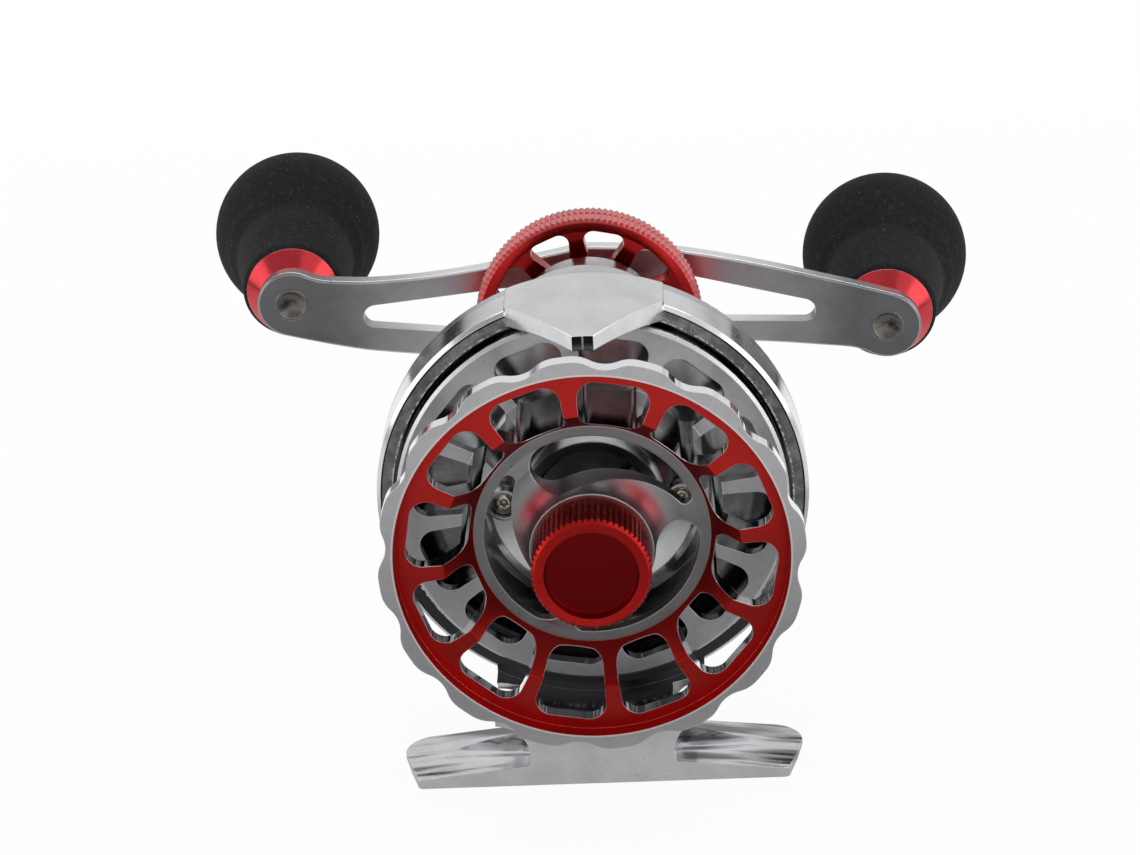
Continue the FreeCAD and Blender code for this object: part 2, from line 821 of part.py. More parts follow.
def build_cup():
    """The frame's ring, its floor and the boss that reaches into the spool."""
    neck = s.boss_neck_radius
    groove_radius = s.front_bearing_radius + s.snap_groove
    groove_start = snap_middle - s.snap_wire
    body = turned("CupBody", [
        (s.shaft_passage, s.bearing_bore_end),
        (s.front_bearing_radius, s.bearing_bore_end),
        (s.front_bearing_radius, bearing_front),
        (groove_radius, bearing_front),
        (groove_radius, groove_start),
        (s.front_bearing_radius, groove_start),
        (s.front_bearing_radius, s.boss_neck_front),
        (neck, s.boss_neck_front),
        (neck, s.boss_front + s.boss_dish),
        (s.boss_radius, s.boss_front),
        (s.boss_radius, s.floor_front),
        (ring_bore, s.floor_front),
        (ring_bore, s.ring_front),
        (ring_radius - s.ring_chamfer, s.ring_front),
        (ring_radius, s.ring_front + s.ring_chamfer),
        (ring_radius, floor_back),
        (s.shaft_passage, floor_back),
    ])
    return body


def build_visor():
    """The raised pad on top of the ring and the pointed line guard that runs forward from it."""
    shell = turned("VisorShell", [
        (ring_bore + s.visor_step, floor_back),
        (ring_bore + s.visor_step, s.visor_base_depth),
        (s.visor_top_tip - s.visor_thickness, ZERO),
        (s.visor_top_tip - s.visor_lip, ZERO),
        (pad_radius, s.ring_front),
        (pad_radius, floor_back),
    ])
    outline = new_body("VisorOutline")
    plan = add_sketch(outline, "XY_Plane", "VisorPlan")
    draw_loop(plan, [
        (s.visor_tip_half, s.visor_tip_depth),
        (s.visor_base_half, s.visor_base_depth),
        (s.pad_half_width, s.ring_front),
        (s.pad_half_width, floor_back),
        (-s.pad_half_width, floor_back),
        (-s.pad_half_width, s.ring_front),
        (-s.visor_base_half, s.visor_base_depth),
        (-s.visor_tip_half, s.visor_tip_depth),
    ])
    block = outline.newObject("PartDesign::Pad", "VisorBlock")
    block.Profile = plan
    block.setExpression("Length", (pad_radius * 2).text)
    visor = document.addObject("Part::Common", "Visor")
    visor.Base = shell
    visor.Tool = outline
    return visor


def build_foot():
    """The foot's two tapering wings, in one piece, before they are scooped out on top."""
    foot_bottom = -s.axis_height
    foot_top = foot_bottom + s.foot_root_height
    foot_front = s.face_lead - s.foot_width / 2
    foot_back = s.face_lead + s.foot_width / 2
    wings = new_body("Wings")
    face = add_sketch(wings, "XZ_Plane", "WingFace", depth=-foot_front)
    tip_top = foot_bottom + s.foot_tip_height
    edge_top = foot_bottom + s.foot_edge_height
    bevelled = s.foot_half_length - s.foot_end_bevel
    draw_loop(face, [
        (-bevelled, foot_bottom),
        (bevelled, foot_bottom),
        (s.foot_half_length, edge_top),
        (s.foot_half_length, tip_top),
        (s.stem_half_width, foot_top),
        (-s.stem_half_width, foot_top),
        (-s.foot_half_length, tip_top),
        (-s.foot_half_length, edge_top),
    ])
    pad_back(wings, face, s.foot_width, "WingBlock")

    plan_body = new_body("FootPlan")
    plan = add_sketch(plan_body, "XY_Plane", "FootOutline", depth=foot_bottom - s.foot_tip_height)
    back_x = s.foot_half_length - s.foot_back_corner
    back_y = foot_back - s.foot_back_corner
    front_x = s.foot_half_length - s.foot_tip_rake - s.foot_front_corner
    front_y = foot_front + s.foot_front_corner
    draw_loop(plan, rounded_loop([
        (-front_x, front_y, s.foot_front_corner),
        (front_x, front_y, s.foot_front_corner),
        (back_x, back_y, s.foot_back_corner),
        (-back_x, back_y, s.foot_back_corner),
    ]))
    plan_block = plan_body.newObject("PartDesign::Pad", "PlanBlock")
    plan_block.Profile = plan
    plan_block.setExpression("Length", (s.foot_root_height + s.foot_tip_height * 2).text)
    foot = document.addObject("Part::Common", "Foot")
    foot.Base = wings
    foot.Tool = plan_body
    return foot


def build_scoops():
    """The two hollows in the wings, which narrow to a point on the wing's sloping top."""
    run = s.scoop_reach - s.stem_half_width
    fall = (s.foot_root_height - s.foot_tip_height) / (s.foot_half_length - s.stem_half_width)
    foot_top = -s.axis_height + s.foot_root_height
    scoops = []
    for side in (1, -1):
        scoop = document.addObject("Part::Cone", "Scoop")
        scoop.setExpression("Radius1", s.scoop_radius.text)
        scoop.setExpression("Radius2", (s.scoop_radius - s.scoop_depth + run * fall).text)
        scoop.setExpression("Height", run.text)
        outward = FreeCAD.Rotation(FreeCAD.Vector(0, side, 0), 90)
        scoop.Placement = FreeCAD.Placement(FreeCAD.Vector(), outward)
        scoop.setExpression(".Placement.Base.x", (s.stem_half_width * side).text)
        scoop.setExpression(".Placement.Base.y", (s.face_lead + s.scoop_offset).text)
        scoop.setExpression(".Placement.Base.z", (foot_top + s.scoop_radius - s.scoop_depth).text)
        scoops.append(scoop)
    return scoops


def build_stem():
    """The stem between foot and ring, flared where it meets the ring and sloped behind."""
    foot_bottom = -s.axis_height
    foot_top = foot_bottom + s.foot_root_height
    foot_front = s.face_lead - s.foot_width / 2
    foot_back = s.face_lead + s.foot_width / 2
    saddle_radius = ring_radius + s.saddle_gap
    stem = new_body("Stem")
    front_view = add_sketch(stem, "XZ_Plane", "StemFace", depth=-foot_front)
    flare_foot = -saddle_radius - s.stem_flare_drop
    flare_top = flare_foot + s.stem_flare
    shoulder = s.stem_half_width + s.stem_flare
    draw_loop(front_view, [
        (-s.stem_half_width, foot_top - s.foot_tip_height),
        (s.stem_half_width, foot_top - s.foot_tip_height),
        (s.stem_half_width, flare_foot, s.stem_flare, False),
        (shoulder, flare_top),
        (shoulder, flare_top + s.stem_flare),
        (-shoulder, flare_top + s.stem_flare),
        (-shoulder, flare_top, s.stem_flare, False),
        (-s.stem_half_width, flare_foot),
    ])
    pad_back(stem, front_view, floor_back - foot_front, "StemBlock")
    side_view = add_sketch(stem, "YZ_Plane", "StemRear")
    draw_loop(side_view, [
        (foot_back, foot_bottom - s.foot_tip_height),
        (floor_back + s.foot_width, foot_bottom - s.foot_tip_height),
        (floor_back + s.foot_width, foot_top + s.stem_rear_rise),
        (floor_back, foot_top + s.stem_rear_rise),
        (foot_back, foot_top),
    ])
    rear = stem.newObject("PartDesign::Pocket", "StemRearCut")
    rear.Profile = side_view
    rear.Type = "ThroughAll"
    rear.SideType = "Symmetric"
    for name, radius, end in (("Saddle", saddle_radius, s.ring_front), ("Bore", ring_bore, s.floor_front)):
        hollow = add_sketch(stem, "XZ_Plane", name, depth=-foot_front + s.foot_tip_height)
        draw_circle(hollow, ZERO, ZERO, radius)
        cut_back(stem, hollow, end - foot_front + s.foot_tip_height, name + "Cut")
    return stem


def screw_spot(turn):
    """Where one of the cover's screws lies, across and up from the spool's axis."""
    angle = as_size(turn)
    return s.screw_circle * cosine(angle), s.screw_circle * sine(angle)


def build_frame():
    """The casting: ring, floor, boss, visor, stem and foot in one, with its seats and screw holes."""
    cutters = build_scoops()
    cutters.append(drilled("InnerBearingSeat", ZERO, gear_offset, s.inner_bearing_radius,
                           floor_back - s.inner_bearing_width, floor_back))
    wells = []
    for number, turn in enumerate(SCREW_ANGLES):
        across, up = screw_spot(turn)
        well_front = s.boss_front - s.well_rise
        wells.append(drilled("Well%d" % number, across, up, s.well_radius, well_front,
                             s.boss_front + s.boss_dish * 2))
        cutters.append(drilled("HeadHole%d" % number, across, up, s.well_radius - s.well_wall,
                               well_front, s.boss_front + s.boss_dish))
        cutters.append(drilled("ShankHole%d" % number, across, up, s.screw_shank_radius,
                               s.boss_front, floor_back))
    casting = document.addObject("Part::MultiFuse", "Casting")
    casting.Shapes = [build_cup(), build_visor(), build_foot(), build_stem()] + wells
    tools = document.addObject("Part::MultiFuse", "CastingCuts")
    tools.Shapes = cutters
    frame = document.addObject("Part::Cut", "Frame")
    frame.Base = casting
    frame.Tool = tools
    return sub_part(frame, "frame")


def point_back(piece, across, depth, up):
    """Lay a round primitive along Y with its start at a depth behind the spool's face."""
    piece.Placement = FreeCAD.Placement(FreeCAD.Vector(), FreeCAD.Rotation(FreeCAD.Vector(1, 0, 0), -90))
    piece.setExpression(".Placement.Base.x", across.text)
    piece.setExpression(".Placement.Base.y", depth.text)
    piece.setExpression(".Placement.Base.z", up.text)


def drilled(name, across, up, radius, start, end):
    """A plain cylinder along Y, from one depth to another."""
    piece = document.addObject("Part::Cylinder", name)
    piece.setExpression("Radius", radius.text)
    piece.setExpression("Height", (end - start).text)
    point_back(piece, across, start, up)
    return piece


def build_frame_screws():
    screws = []
    for number, turn in enumerate(SCREW_ANGLES):
        screw = turned("ScrewBody%d" % number, [
            (ZERO, screw_start),
            (s.screw_crown_radius, screw_start),
            (s.screw_head_radius, screw_start + s.screw_crown_height),
            (s.screw_head_radius, screw_start + s.screw_head_height),
            (s.screw_shank_radius, screw_start + s.screw_head_height),
            (s.screw_shank_radius, screw_end),
            (ZERO, screw_end),
        ])
        across, up = screw_spot(turn)
        screw.setExpression(".Placement.Base.x", across.text)
        screw.setExpression(".Placement.Base.z", up.text)
        screws.append(screw)
    group = document.addObject("Part::Compound", "FrameScrews")
    group.Links = screws
    return sub_part(group, "frame_screws")


def build_snap_ring():
    """A ring of spring wire, open at the top right, with a bent lug at one end."""
    ring = document.addObject("Part::Torus", "SnapWire")
    middle = s.front_bearing_radius + s.snap_groove - s.snap_wire
    ring.setExpression("Radius1", middle.text)
    ring.setExpression("Radius2", s.snap_wire.text)
    ring.setExpression("Angle3", (as_size(360) - s.snap_gap_angle).text)
    point_back(ring, ZERO, snap_middle, ZERO)
    holder = document.addObject("Part::MultiFuse", "SnapRing")
    lug = document.addObject("Part::Cylinder", "SnapLug")
    lug.setExpression("Radius", s.snap_wire.text)
    lug.setExpression("Height", (s.snap_lug + s.snap_wire).text)
    lug.Placement = FreeCAD.Placement(FreeCAD.Vector(), FreeCAD.Rotation(FreeCAD.Vector(0, -1, 0), 90))
    lug.setExpression(".Placement.Base.x", middle.text)
    lug.setExpression(".Placement.Base.y", snap_middle.text)
    holder.Shapes = [ring, lug]
    return sub_part(holder, "snap_ring", on_axis(turn=-s.snap_gap_turn))


def build_bearings():
    """The bearings of both shafts; only the front one shows, and it has its shields modelled."""
    gap = s.running_gap
    front = shielded_bearing("FrontBearing", s.shaft_radius + gap, s.front_bearing_radius,
                             bearing_front, s.bearing_bore_end)
    sub_part(front, "spool_bearing_front")
    rear = tube("RearBearing", s.shaft_radius + gap, s.rear_bearing_radius,
                rear_bearing_start, rear_bearing_end)
    sub_part(rear, "spool_bearing_rear")
    inner = tube("InnerBearing", s.inner_journal + gap, s.inner_bearing_radius,
                 floor_back - s.inner_bearing_width, floor_back)
    sub_part(inner, "drive_bearing", on_axis(gear_offset))
    one_way = tube("OneWayBearing", s.drive_radius + s.sleeve_wall + gap, s.one_way_radius,
                   one_way_end - s.one_way_width, one_way_end)
    sub_part(one_way, "one_way_bearing", on_axis(gear_offset))


def build_gear_cover():
    """The back cover, with a boss and a dome over the main gear and a small dome over the pinion."""
    tip = s.gear_module * (s.main_teeth + 2) / 2
    small_tip = s.gear_module * (s.pinion_teeth + 2) / 2
    edge_end = floor_back + s.cover_edge
    body = turned("CoverBody", [
        (ZERO, floor_back),
        (ring_radius, floor_back),
        (ring_radius, edge_end, s.cover_round, True),
        (ring_radius - s.cover_round, edge_end + s.cover_round),
        (ZERO, edge_end + s.cover_round + s.crown_rise),
    ])
    boss = drilled("GearBoss", ZERO, gear_offset, s.gear_boss_radius, edge_end,
                   gear_room_end + s.gear_boss_wall)
    pinion_dome_end = shaft_rear + s.gear_room + s.pinion_dome_wall
    domes = []
    for name, up, radius, end_radius, end in (
            ("MainDome", gear_offset, s.dome_radius, s.dome_end_radius, s.dome_end),
            ("PinionDome", ZERO, s.pinion_dome_radius, s.pinion_dome_end_radius, pinion_dome_end)):
        dome = document.addObject("Part::Cone", name)
        dome.setExpression("Radius1", radius.text)
        dome.setExpression("Radius2", end_radius.text)
        dome.setExpression("Height", (end - edge_end).text)
        point_back(dome, ZERO, edge_end, up)
        domes.append(dome)
    solid = document.addObject("Part::MultiFuse", "CoverSolid")
    solid.Shapes = [body, boss] + domes
    lip = s.drive_radius + s.sleeve_wall + s.end_gap
    rooms = [
        drilled("GearRoom", ZERO, gear_offset, tip + s.gear_room, floor_back, gear_room_end),
        drilled("WasherRoom", ZERO, gear_offset, s.washer_radius + s.gear_room, floor_back,
                plate_end + s.end_gap),
        drilled("OneWaySeat", ZERO, gear_offset, s.one_way_radius, floor_back, one_way_end),
        drilled("SleeveHole", ZERO, gear_offset, lip, floor_back, s.dome_end),
        drilled("PinionRoom", ZERO, ZERO, small_tip + s.gear_room, floor_back, rear_bearing_start),
        drilled("RearBearingSeat", ZERO, ZERO, s.rear_bearing_radius, floor_back, rear_bearing_end),
        drilled("ClipRoom", ZERO, ZERO, s.clip_radius + s.end_gap, floor_back, shaft_rear + s.gear_room),
    ]
    for number, turn in enumerate(SCREW_ANGLES):
        across, up = screw_spot(turn)
        rooms.append(drilled("CoverHole%d" % number, across, up, s.screw_shank_radius,
                             floor_back, screw_end))
    hollow = document.addObject("Part::MultiFuse", "CoverRooms")
    hollow.Shapes = rooms
    cover = document.addObject("Part::Cut", "Cover")
    cover.Base = solid
    cover.Tool = hollow
    return sub_part(cover, "gear_cover")


def build_drive_stack():
    """The drive shaft and what it clamps between the gear and the handle arm."""
    axis = on_axis(gear_offset)
    shaft = turned("DriveShaftBody", [
        (ZERO, floor_back - s.inner_bearing_width),
        (s.inner_journal, floor_back - s.inner_bearing_width),
        (s.inner_journal, floor_back + s.end_gap),
        (s.drive_collar, floor_back + s.end_gap),
        (s.drive_collar, gear_start),
        (s.drive_radius, gear_start),
        (s.drive_radius, drive_rear),
        (s.nut_screw_shank, drive_rear),
        (s.nut_screw_shank, drive_rear - s.nut_screw_depth),
        (ZERO, drive_rear - s.nut_screw_depth),
    ])
    sub_part(shaft, "drive_shaft", axis)
    washer = tube("WasherBody", s.drive_radius, s.washer_radius, gear_end, washer_end)
    sub_part(washer, "drag_washer", axis)
    plate = tube("PlateBody", s.drive_radius, s.washer_radius, washer_end, plate_end)
    sub_part(plate, "pressure_plate", axis)
    sleeve = tube("SleeveBody", s.drive_radius, s.drive_radius + s.sleeve_wall, plate_end, spring_start)
    sub_part(sleeve, "one_way_sleeve", axis)
    springs = []
    for number, flip in enumerate((1, -1)):
        middle = spring_start + s.spring_rise
        near = middle - s.spring_rise * flip
        corners = [
            (s.drive_radius, near),
            (s.spring_radius, middle),
            (s.spring_radius, middle + s.spring_stock * flip),
            (s.drive_radius, near + s.spring_stock * flip),
        ]
        springs.append(turned("SpringBody%d" % number, corners))
    pair = document.addObject("Part::Compound", "SpringWashers")
    pair.Links = springs
    sub_part(pair, "spring_washers", axis)
    spacer = tube("SpacerBody", s.drive_radius, s.spacer_radius, star_back + s.end_gap, s.arm_front)
    sub_part(spacer, "handle_spacer", axis)


def build_star_wheel():
    bore = s.drive_radius + s.running_gap
    middle = s.star_front + s.star_width / 2
    web_front = s.star_front + s.star_web_setback
    web_back = web_front + s.star_web
    body = turned("StarBody", [
        (bore, star_hub_front),
        (s.star_hub_radius, star_hub_front),
        (s.star_hub_radius, web_front),
        (s.star_band_inner, s.star_front + s.star_band_depth),
        (s.star_radius - s.star_edge, s.star_front),
        (s.star_radius, s.star_front + s.star_edge),
        (s.star_radius, middle - s.star_groove),
        (s.star_radius - s.star_groove, middle),
        (s.star_radius, middle + s.star_groove),
        (s.star_radius, star_back - s.star_edge),
        (s.star_radius - s.star_edge, star_back),
        (s.star_band_inner, star_back),
        (s.star_band_inner, web_back),
        (s.star_hub_radius, web_back),
        (s.star_hub_radius, star_back),
        (bore, star_back),
    ])
    window = add_sketch(body, "XZ_Plane", "StarWindow")
    nose = [(ZERO, s.star_window_inner + s.star_window_nose, s.star_window_nose)]
    corners = nose + outer_corners(s.star_band_inner, s.star_window_width, s.star_window_corner)
    draw_loop(window, rounded_loop(turned_circles(corners, s.star_window_angle)))
    ring_of(body, cut_back(body, window, None, "StarWindowCut"), s.star_windows, "StarWindows")
    return sub_part(body, "star_wheel", on_axis(gear_offset))


def strip_half(inset):
    """Where one half of the bent arm's edge line turns, at an inset from its front, hub to tip."""
    first = s.arm_bend_radius + inset
    second = s.arm_bend_radius + s.arm_thickness - inset
    outer_bend = s.arm_bend_radius + s.arm_thickness
    slope_sine = sine(s.arm_slope)
    slope_cosine = cosine(s.arm_slope)
    bend_depth = s.arm_front - s.arm_bend_radius
    slope_x = s.arm_flat + s.arm_bend_radius * slope_sine
    slope_y = bend_depth + s.arm_bend_radius * slope_cosine
    crank_y = slope_y - (s.arm_crank_reach - slope_x) * slope_sine / slope_cosine
    centre_x = s.arm_crank_reach + outer_bend * slope_sine
    centre_y = crank_y + outer_bend * slope_cosine
    end_x = centre_x - second * sine(s.knob_splay)
    end_y = centre_y - second * cosine(s.knob_splay)
    tip_x = s.arm_pivot + s.arm_end_radius * 2
    tip_y = end_y - (tip_x - end_x) * sine(s.knob_splay) / cosine(s.knob_splay)
    return [
        (s.arm_flat, s.arm_front + inset),
        (s.arm_flat + first * slope_sine, bend_depth + first * slope_cosine),
        (centre_x - second * slope_sine, centre_y - second * slope_cosine),
        (end_x, end_y),
        (tip_x, tip_y),
    ]


def strip_loop():
    """The bent arm seen from above: flat at the hub, sloping forward, and splayed at the tips."""
    loop = []
    for way, inset in ((1, ZERO), (-1, s.arm_thickness)):
        first = s.arm_bend_radius + inset
        second = s.arm_bend_radius + s.arm_thickness - inset
        flat, slope, crank, end, tip = strip_half(inset)
        loop.append((tip[0] * -way, tip[1]))
        loop.append((end[0] * -way, end[1], second, way == 1))
        loop.append((crank[0] * -way, crank[1]))
        loop.append((slope[0] * -way, slope[1], first, way == -1))
        loop.append((flat[0] * -way, flat[1]))
        loop.append((flat[0] * way, flat[1], first, way == -1))
        loop.append((slope[0] * way, slope[1]))
        loop.append((crank[0] * way, crank[1], second, way == 1))
        loop.append((end[0] * way, end[1]))
        loop.append((tip[0] * way, tip[1]))
    return loop


def arm_outline():
    """The arm seen from the front, clockwise: an S, the same after half a turn, all of tangent arcs."""
    hub = s.arm_hub_radius
    tip = s.arm_end_radius
    crown = s.arm_crown_radius
    waist_radius = ((s.arm_waist_reach * s.arm_waist_reach + s.arm_waist * s.arm_waist - hub * hub)
                    / ((hub - s.arm_waist) * 2))
    waist_y = waist_radius + s.arm_waist
    hub_share = hub / (waist_radius + hub)
    crown_x = (((crown - hub) * (crown - hub) - (crown - tip) * (crown - tip) + s.arm_pivot * s.arm_pivot)
               / (s.arm_pivot * 2))
    crown_y = -root((crown - hub) * (crown - hub) - crown_x * crown_x)
    top_share = hub / (crown - hub)
    tip_share = tip / (crown - tip)
    way_x = s.arm_waist_reach - s.arm_pivot
    distance = root(way_x * way_x + waist_y * waist_y)
    near = tip + s.arm_fillet
    far = waist_radius - s.arm_fillet
    along = (distance * distance + near * near - far * far) / (distance * 2)
    aside = root(near * near - along * along)
    fillet_x = s.arm_pivot + (way_x * along - waist_y * aside) / distance
    fillet_y = -(waist_y * along + way_x * aside) / distance
    near_share = tip / near
    far_share = waist_radius / far
    corners = []
    for side in (1, -1):
        corners.append((s.arm_waist_reach * hub_share * -side, waist_y * hub_share * side, hub, False))
        corners.append((-crown_x * top_share * side, -crown_y * top_share * side, crown, False))
        corners.append(((s.arm_pivot + (s.arm_pivot - crown_x) * tip_share) * side,
                        -crown_y * tip_share * side, tip, False))
        corners.append(((s.arm_pivot + tip) * side, ZERO, tip, False))
        corners.append(((s.arm_pivot + (fillet_x - s.arm_pivot) * near_share) * side,
                        fillet_y * near_share * side, s.arm_fillet, True))
        corners.append(((s.arm_waist_reach + (fillet_x - s.arm_waist_reach) * far_share) * side,
                        (-waist_y + (fillet_y + waist_y) * far_share) * side, waist_radius, True))
    return corners


def knob_spot(side):
    """The placing of a knob's pieces: on the splayed tip's front face, at the knob's pivot."""
    end_x, end_y = strip_half(ZERO)[3]
    depth = end_y - (s.arm_pivot - end_x) * sine(s.knob_splay) / cosine(s.knob_splay)
    return "%s * placement(vector(%s; %s; 0); rotation(vector(0; 0; 1); %s * 1 deg))" % (
        on_axis(gear_offset, s.arm_rest_angle), (s.arm_pivot * side).text, depth.text,
        (s.knob_splay * -side).text)


def build_handle_arm():
    """The bent strip cut to its outline, with a tapering slot in each half and its holes."""
    body = new_body("ArmBody")
    above = add_sketch(body, "XY_Plane", "ArmAbove")
    draw_loop(above, strip_loop())
    strip = body.newObject("PartDesign::Pad", "ArmStrip")
    strip.Profile = above
    strip.SideType = "Symmetric"
    strip.setExpression("Length", (s.arm_hub_radius * 4).text)
    trim = add_sketch(body, "XZ_Plane", "ArmOutline")
    half_length = s.arm_pivot + s.arm_end_radius * 3
    half_height = s.arm_hub_radius * 3
    draw_loop(trim, [
        (-half_length, -half_height),
        (half_length, -half_height),
        (half_length, half_height),
        (-half_length, half_height),
    ])
    draw_loop(trim, arm_outline())
    trimmed = cut_back(body, trim, None, "ArmTrim")
    document.recompute()
    edges = []
    for number, edge in enumerate(trimmed.Shape.Edges, start=1):
        if not is_upright(edge):
            edges.append("Edge%d" % number)
    bevel = body.newObject("PartDesign::Chamfer", "ArmBevel")
    bevel.Base = (trimmed, edges)
    bevel.setExpression("Size", s.arm_chamfer.text)
    for side in (1, -1):
        slot = add_sketch(body, "XZ_Plane", "ArmSlot")
        draw_loop(slot, rounded_loop([
            (s.arm_slot_reach * side, s.arm_slot_rise * side, s.arm_slot_end),
            (s.arm_slot_near * side, s.arm_slot_near_top * side, s.arm_slot_end),
            (s.arm_slot_near * side, s.arm_slot_near_bottom * -side, s.arm_slot_end),
        ]))
        cut_back(body, slot, None, "ArmSlotCut")
    bore = add_sketch(body, "XZ_Plane", "ArmBore")
    draw_circle(bore, ZERO, ZERO, s.drive_radius)
    cut_back(body, bore, None, "ArmBoreCut")
    holes = []
    for number, side in enumerate((-1, 1)):
        hole = document.addObject("Part::Cylinder", "PostHole%d" % number)
        hole.setExpression("Radius", s.post_head_radius.text)
        hole.setExpression("Height", (s.arm_thickness * 3).text)
        spun = "placement(vector(0; %s; 0); rotation(vector(1; 0; 0); -90))" % (-s.arm_thickness).text
        undone = "minvert(%s)" % on_axis(gear_offset, s.arm_rest_angle)
        hole.setExpression("Placement", "%s * %s * %s" % (undone, knob_spot(side), spun))
        holes.append(hole)
    tools = document.addObject("Part::MultiFuse", "PostHoles")
    tools.Shapes = holes
    arm = document.addObject("Part::Cut", "Arm")
    arm.Base = body
    arm.Tool = tools
    sub_part(arm, "handle_arm", on_axis(gear_offset, s.arm_rest_angle))


def is_upright(edge):
    """Whether an edge is one of the arm's bend lines, or a corner of its wall."""
    box = edge.BoundBox
    return box.XLength < TOUCHING and (box.YLength < TOUCHING or box.ZLength < TOUCHING)


def build_handle_nut():
    nut = new_body("NutBody")
    hexagon = add_sketch(nut, "XZ_Plane", "NutOutline", depth=-arm_back)
    corner_radius = s.nut_across / cosine(as_size(30)) / 2
    points = []
    for number in range(6):
        turn = as_size(60 * number)
        points.append((corner_radius * cosine(turn), corner_radius * sine(turn)))
    draw_loop(hexagon, points)
    draw_circle(hexagon, ZERO, ZERO, s.drive_radius)
    pad_back(nut, hexagon, s.nut_height, "NutBlock")
    sub_part(nut, "handle_nut", on_axis(gear_offset, s.arm_rest_angle))

    screw = turned("NutScrewBody", [
        (ZERO, drive_rear + s.nut_screw_height),
        (s.nut_screw_crown, drive_rear + s.nut_screw_height),
        (s.nut_screw_head, drive_rear + s.nut_screw_edge),
        (s.nut_screw_head, drive_rear),
        (s.nut_screw_shank, drive_rear),
        (s.nut_screw_shank, drive_rear - s.nut_screw_depth),
        (ZERO, drive_rear - s.nut_screw_depth),
    ])
    sub_part(screw, "nut_screw", on_axis(gear_offset))


def build_knob(side, word):
    """One of the two handle knobs, on its post at the end of the arm."""
    spot = knob_spot(side)
    end = s.post_length
    dish = ((s.post_dish_radius * s.post_dish_radius + s.post_dish_depth * s.post_dish_depth)
            / (s.post_dish_depth * 2))
    post = turned("PostBody" + word, [
        (ZERO, s.post_dish_depth - s.post_head_rise, dish, False),
        (s.post_dish_radius, -s.post_head_rise),
        (s.post_head_radius, -s.post_head_rise),
        (s.post_head_radius, s.arm_thickness),
        (s.post_radius, s.arm_thickness),
        (s.post_radius, end),
        (s.knob_screw_shank, end),
        (s.knob_screw_shank, end - s.knob_screw_depth),
        (ZERO, end - s.knob_screw_depth),
    ])
    sub_part(post, "knob_post_" + word, spot)

    collar_start = s.arm_thickness + s.collar_gap
    seat_end = collar_start + s.knob_bearing_width
    rear_seat = s.knob_bearing_rear
    collar = turned("CollarBody" + word, [
        (s.knob_bearing_radius, collar_start),
        (s.collar_small, collar_start),
        (s.collar_large, s.collar_end),
        (s.core_radius, s.collar_end),
        (s.core_radius, s.core_end),
        (s.knob_bearing_radius, s.core_end),
        (s.knob_bearing_radius, rear_seat),
        (s.core_bore, rear_seat),
        (s.core_bore, seat_end),
        (s.knob_bearing_radius, seat_end),
    ])
    sub_part(collar, "knob_collar_" + word, spot)

    pair = []
    for number, start in enumerate((collar_start, rear_seat)):
        pair.append(tube("KnobBearing%s%d" % (word, number), s.post_radius + s.running_gap,
                         s.knob_bearing_radius, start, start + s.knob_bearing_width))
    bearings = document.addObject("Part::Compound", "KnobBearings" + word)
    bearings.Links = pair
    sub_part(bearings, "knob_bearings_" + word, spot)

    screw = turned("KnobScrewBody" + word, [
        (ZERO, end - s.knob_screw_depth),
        (s.knob_screw_shank, end - s.knob_screw_depth),
        (s.knob_screw_shank, end),
        (s.knob_screw_head, end),
        (s.knob_screw_head, end + s.knob_screw_edge),
        (s.knob_screw_crown, end + s.knob_screw_height),
        (ZERO, end + s.knob_screw_height),
    ])
    sub_part(screw, "knob_screw_" + word, spot)

    neck_end = s.grip_centre - root(s.grip_radius * s.grip_radius - s.grip_neck * s.grip_neck)
    grip = turned("GripBody" + word, [
        (s.core_radius, s.collar_end),
        (s.grip_mouth, s.collar_end),
        (s.grip_neck, neck_end, s.grip_radius, True),
        (ZERO, s.grip_centre + s.grip_radius),
        (ZERO, s.grip_room_end),
        (s.core_radius, s.grip_room_end),
    ])
    sub_part(grip, "knob_grip_" + word, spot)


build_frame()
build_frame_screws()
build_gear_cover()
build_bearings()
build_snap_ring()
build_spool()
build_hub()
build_spool_shaft()
build_spool_knob()
build_gears()
build_drive_stack()
build_star_wheel()
build_handle_arm()
build_handle_nut()
build_knob(-1, "left")
build_knob(1, "right")
document.recompute()

for item in document.Objects:
    if "Invalid" in item.State or "Error" in item.State:
        raise RuntimeError("%s (%s) did not build: %s" % (item.Name, item.Label, item.State))
for piece in sub_parts:
    if piece.Shape.isNull() or not piece.Shape.isValid() or not piece.Shape.Solids:
        raise RuntimeError("%s has no valid solid" % piece.Label)

os.makedirs("parts", exist_ok=True)
for piece in sub_parts:
    piece.Shape.exportStep("parts/%s.step" % piece.Label)
    print(piece.Label, len(piece.Shape.Solids), round(piece.Shape.Volume, 1))
print(len(sub_parts), "sub-parts")
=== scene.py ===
import bmesh
import bpy
import json
import math
from mathutils import Matrix, Vector


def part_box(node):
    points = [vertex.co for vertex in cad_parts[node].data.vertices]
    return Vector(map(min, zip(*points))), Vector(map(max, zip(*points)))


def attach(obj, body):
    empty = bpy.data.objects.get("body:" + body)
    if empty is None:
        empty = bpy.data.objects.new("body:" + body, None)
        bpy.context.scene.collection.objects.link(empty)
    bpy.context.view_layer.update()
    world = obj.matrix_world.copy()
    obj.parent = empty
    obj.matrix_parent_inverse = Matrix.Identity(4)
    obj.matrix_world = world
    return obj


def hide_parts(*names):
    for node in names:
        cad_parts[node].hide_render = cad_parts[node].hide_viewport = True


# A raft fishing reel. The scene is in metres, in the part's own frame: X along the foot, Y back
# along the spool's axis, Z up, and the origin under the middle of the foot.

